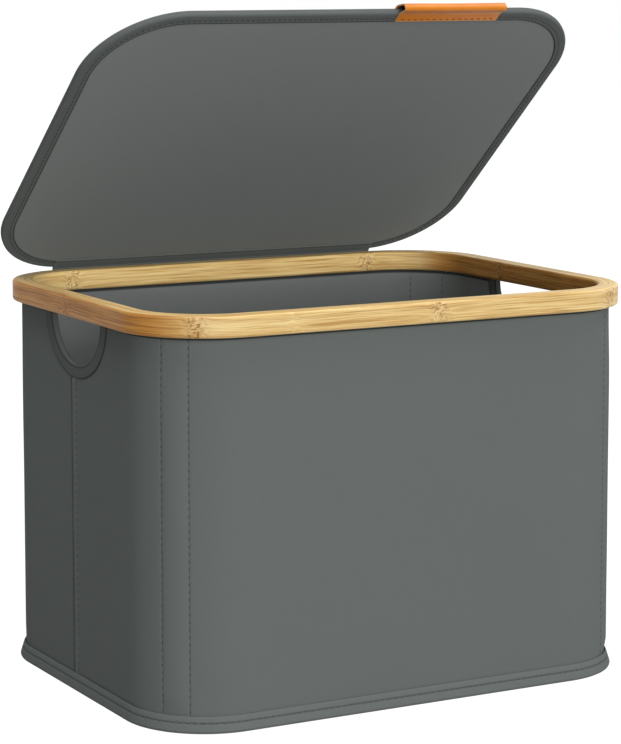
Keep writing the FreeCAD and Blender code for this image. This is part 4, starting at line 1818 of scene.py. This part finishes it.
@dataclass
class Studio:
    """Pale floor, white surroundings, soft lamps and the camera."""

    ambient: float = 0.07
    aim: tuple[float, float, float] = (0.0, 0.0, 0.25)
    floor_half: float = 8.0
    floor_level: float = -0.3 * MM
    floor_glow: float = 0.955
    floor_dull: float = 0.2
    floor_shade: float = 0.3
    lens: float = 128.5
    camera_at: tuple[float, float, float] = (-1.1360, -2.0758, 0.6306)
    camera_yaw: float = -28.63
    camera_pitch: float = 6.98
    shift_y: float = -0.115
    lamps: tuple[Lamp, ...] = (
        Lamp("front_low_lamp", -11.0, 3.0, 0.22, 5.0, 0.7),
        Lamp("front_lamp", -11.0, 8.0, 0.27, 5.0, 1.5),
        Lamp("front_high_lamp", -5.0, 30.0, 0.17, 5.0, 2.0),
        Lamp("right_front_lamp", 15.0, 18.0, 0.08, 5.0, 2.5),
        Lamp("left_lamp", -60.0, 30.0, 0.05, 4.0, 3.0),
        Lamp("left_high_lamp", -94.0, 74.0, 0.40, 4.0, 3.0),
        Lamp("right_high_lamp", 66.0, 58.0, 0.28, 4.0, 3.0),
        Lamp("right_lamp", 78.0, 12.0, 0.13, 4.0, 2.0),
        Lamp("overhead_lamp", 0.0, 88.0, 0.12, 3.0, 3.0, 5.0),
    )

    def build(self) -> None:
        """Sets up the whole studio."""
        self.world()
        self.floor()
        for lamp in self.lamps:
            lamp.build(np.array(self.aim))
        self.camera()
        bpy.context.scene.view_settings.view_transform = "Standard"

    @staticmethod
    def seen(tree: Tree) -> bpy.types.NodeSocket:
        """1 for rays that show the background: straight from the camera, in a mirror or through glass.

        Args:
            tree: the tree that asks.

        Returns:
            A value of 0 or 1.
        """
        path = tree.add("LightPath").outputs
        total = tree.math("ADD", path["Is Camera Ray"], path["Is Glossy Ray"])
        return tree.math("MINIMUM", tree.math("ADD", total, path["Is Transmission Ray"]), 1.0)

    def world(self) -> None:
        """White where it is seen, and an even dim light elsewhere."""
        world = bpy.data.worlds.new("surroundings")
        bpy.context.scene.world = world
        world.use_nodes = True
        tree = Tree(world.node_tree)
        background = world.node_tree.nodes["Background"].inputs
        tree.feed(background["Color"], shade(WHITE))
        tree.feed(background["Strength"], tree.fit(self.seen(tree), 0, 1, self.ambient, 1.0))

    def floor(self) -> None:
        """A wide floor that reads as white and keeps a faint shadow."""
        corners = np.array([[-1, -1, 0], [1, -1, 0], [1, 1, 0], [-1, 1, 0]]) * self.floor_half
        floor = to_object("floor", corners + (0, 0, self.floor_level), [np.array([[0, 1, 2, 3]])])
        tree = Surface("pale_floor")
        dull = tree.add("BsdfDiffuse", Color=shade(WHITE, self.floor_dull))
        glow = tree.add("Emission", Color=shade(WHITE), Strength=self.floor_glow)
        shown, both = tree.add("AddShader"), tree.add("MixShader")
        principled, output = (tree.tree.nodes[name] for name in ("Principled BSDF", "Material Output"))
        for socket, source in zip((*shown.inputs, *both.inputs), (
                dull.outputs[0], glow.outputs[0], self.seen(tree), principled.outputs[0], shown.outputs[0])):
            tree.feed(socket, source)
        tree.feed(output.inputs["Surface"], both.outputs[0])
        floor.data.materials.append(tree.done(shade(WHITE, self.floor_shade), 0.9, 0.0))

    def camera(self) -> None:
        """The camera: left of the front, a little above the rim, looking slightly down."""
        data = bpy.data.cameras.new("camera")
        data.lens, data.shift_y, data.clip_end = self.lens, self.shift_y, 50.0
        camera = link("camera", data)
        camera.location = self.camera_at
        camera.rotation_euler = (math.radians(90 - self.camera_pitch), 0, math.radians(self.camera_yaw))
        bpy.context.scene.camera = camera


def boards(finishes: Finishes) -> None:
    """The stiff boards and the base's lining, which stay as they are inside the cloth."""
    for name in ("front_board", "back_board", "left_board", "right_board", "bottom_board", "lid_board"):
        refinish(name, finishes.board)
    refinish("base_lining", finishes.plain)


def main() -> None:
    """Builds the looks in the order of the real object, then the studio."""
    logging.basicConfig(level=logging.INFO, format="%(name)s: %(message)s")
    finishes = Finishes()
    boards(finishes)
    for assembly in (BambooRim, Walls, HoleBindings, Foot, Lid):
        assembly(finishes).build()
    Studio().build()


if __name__ == "__main__":
    main()
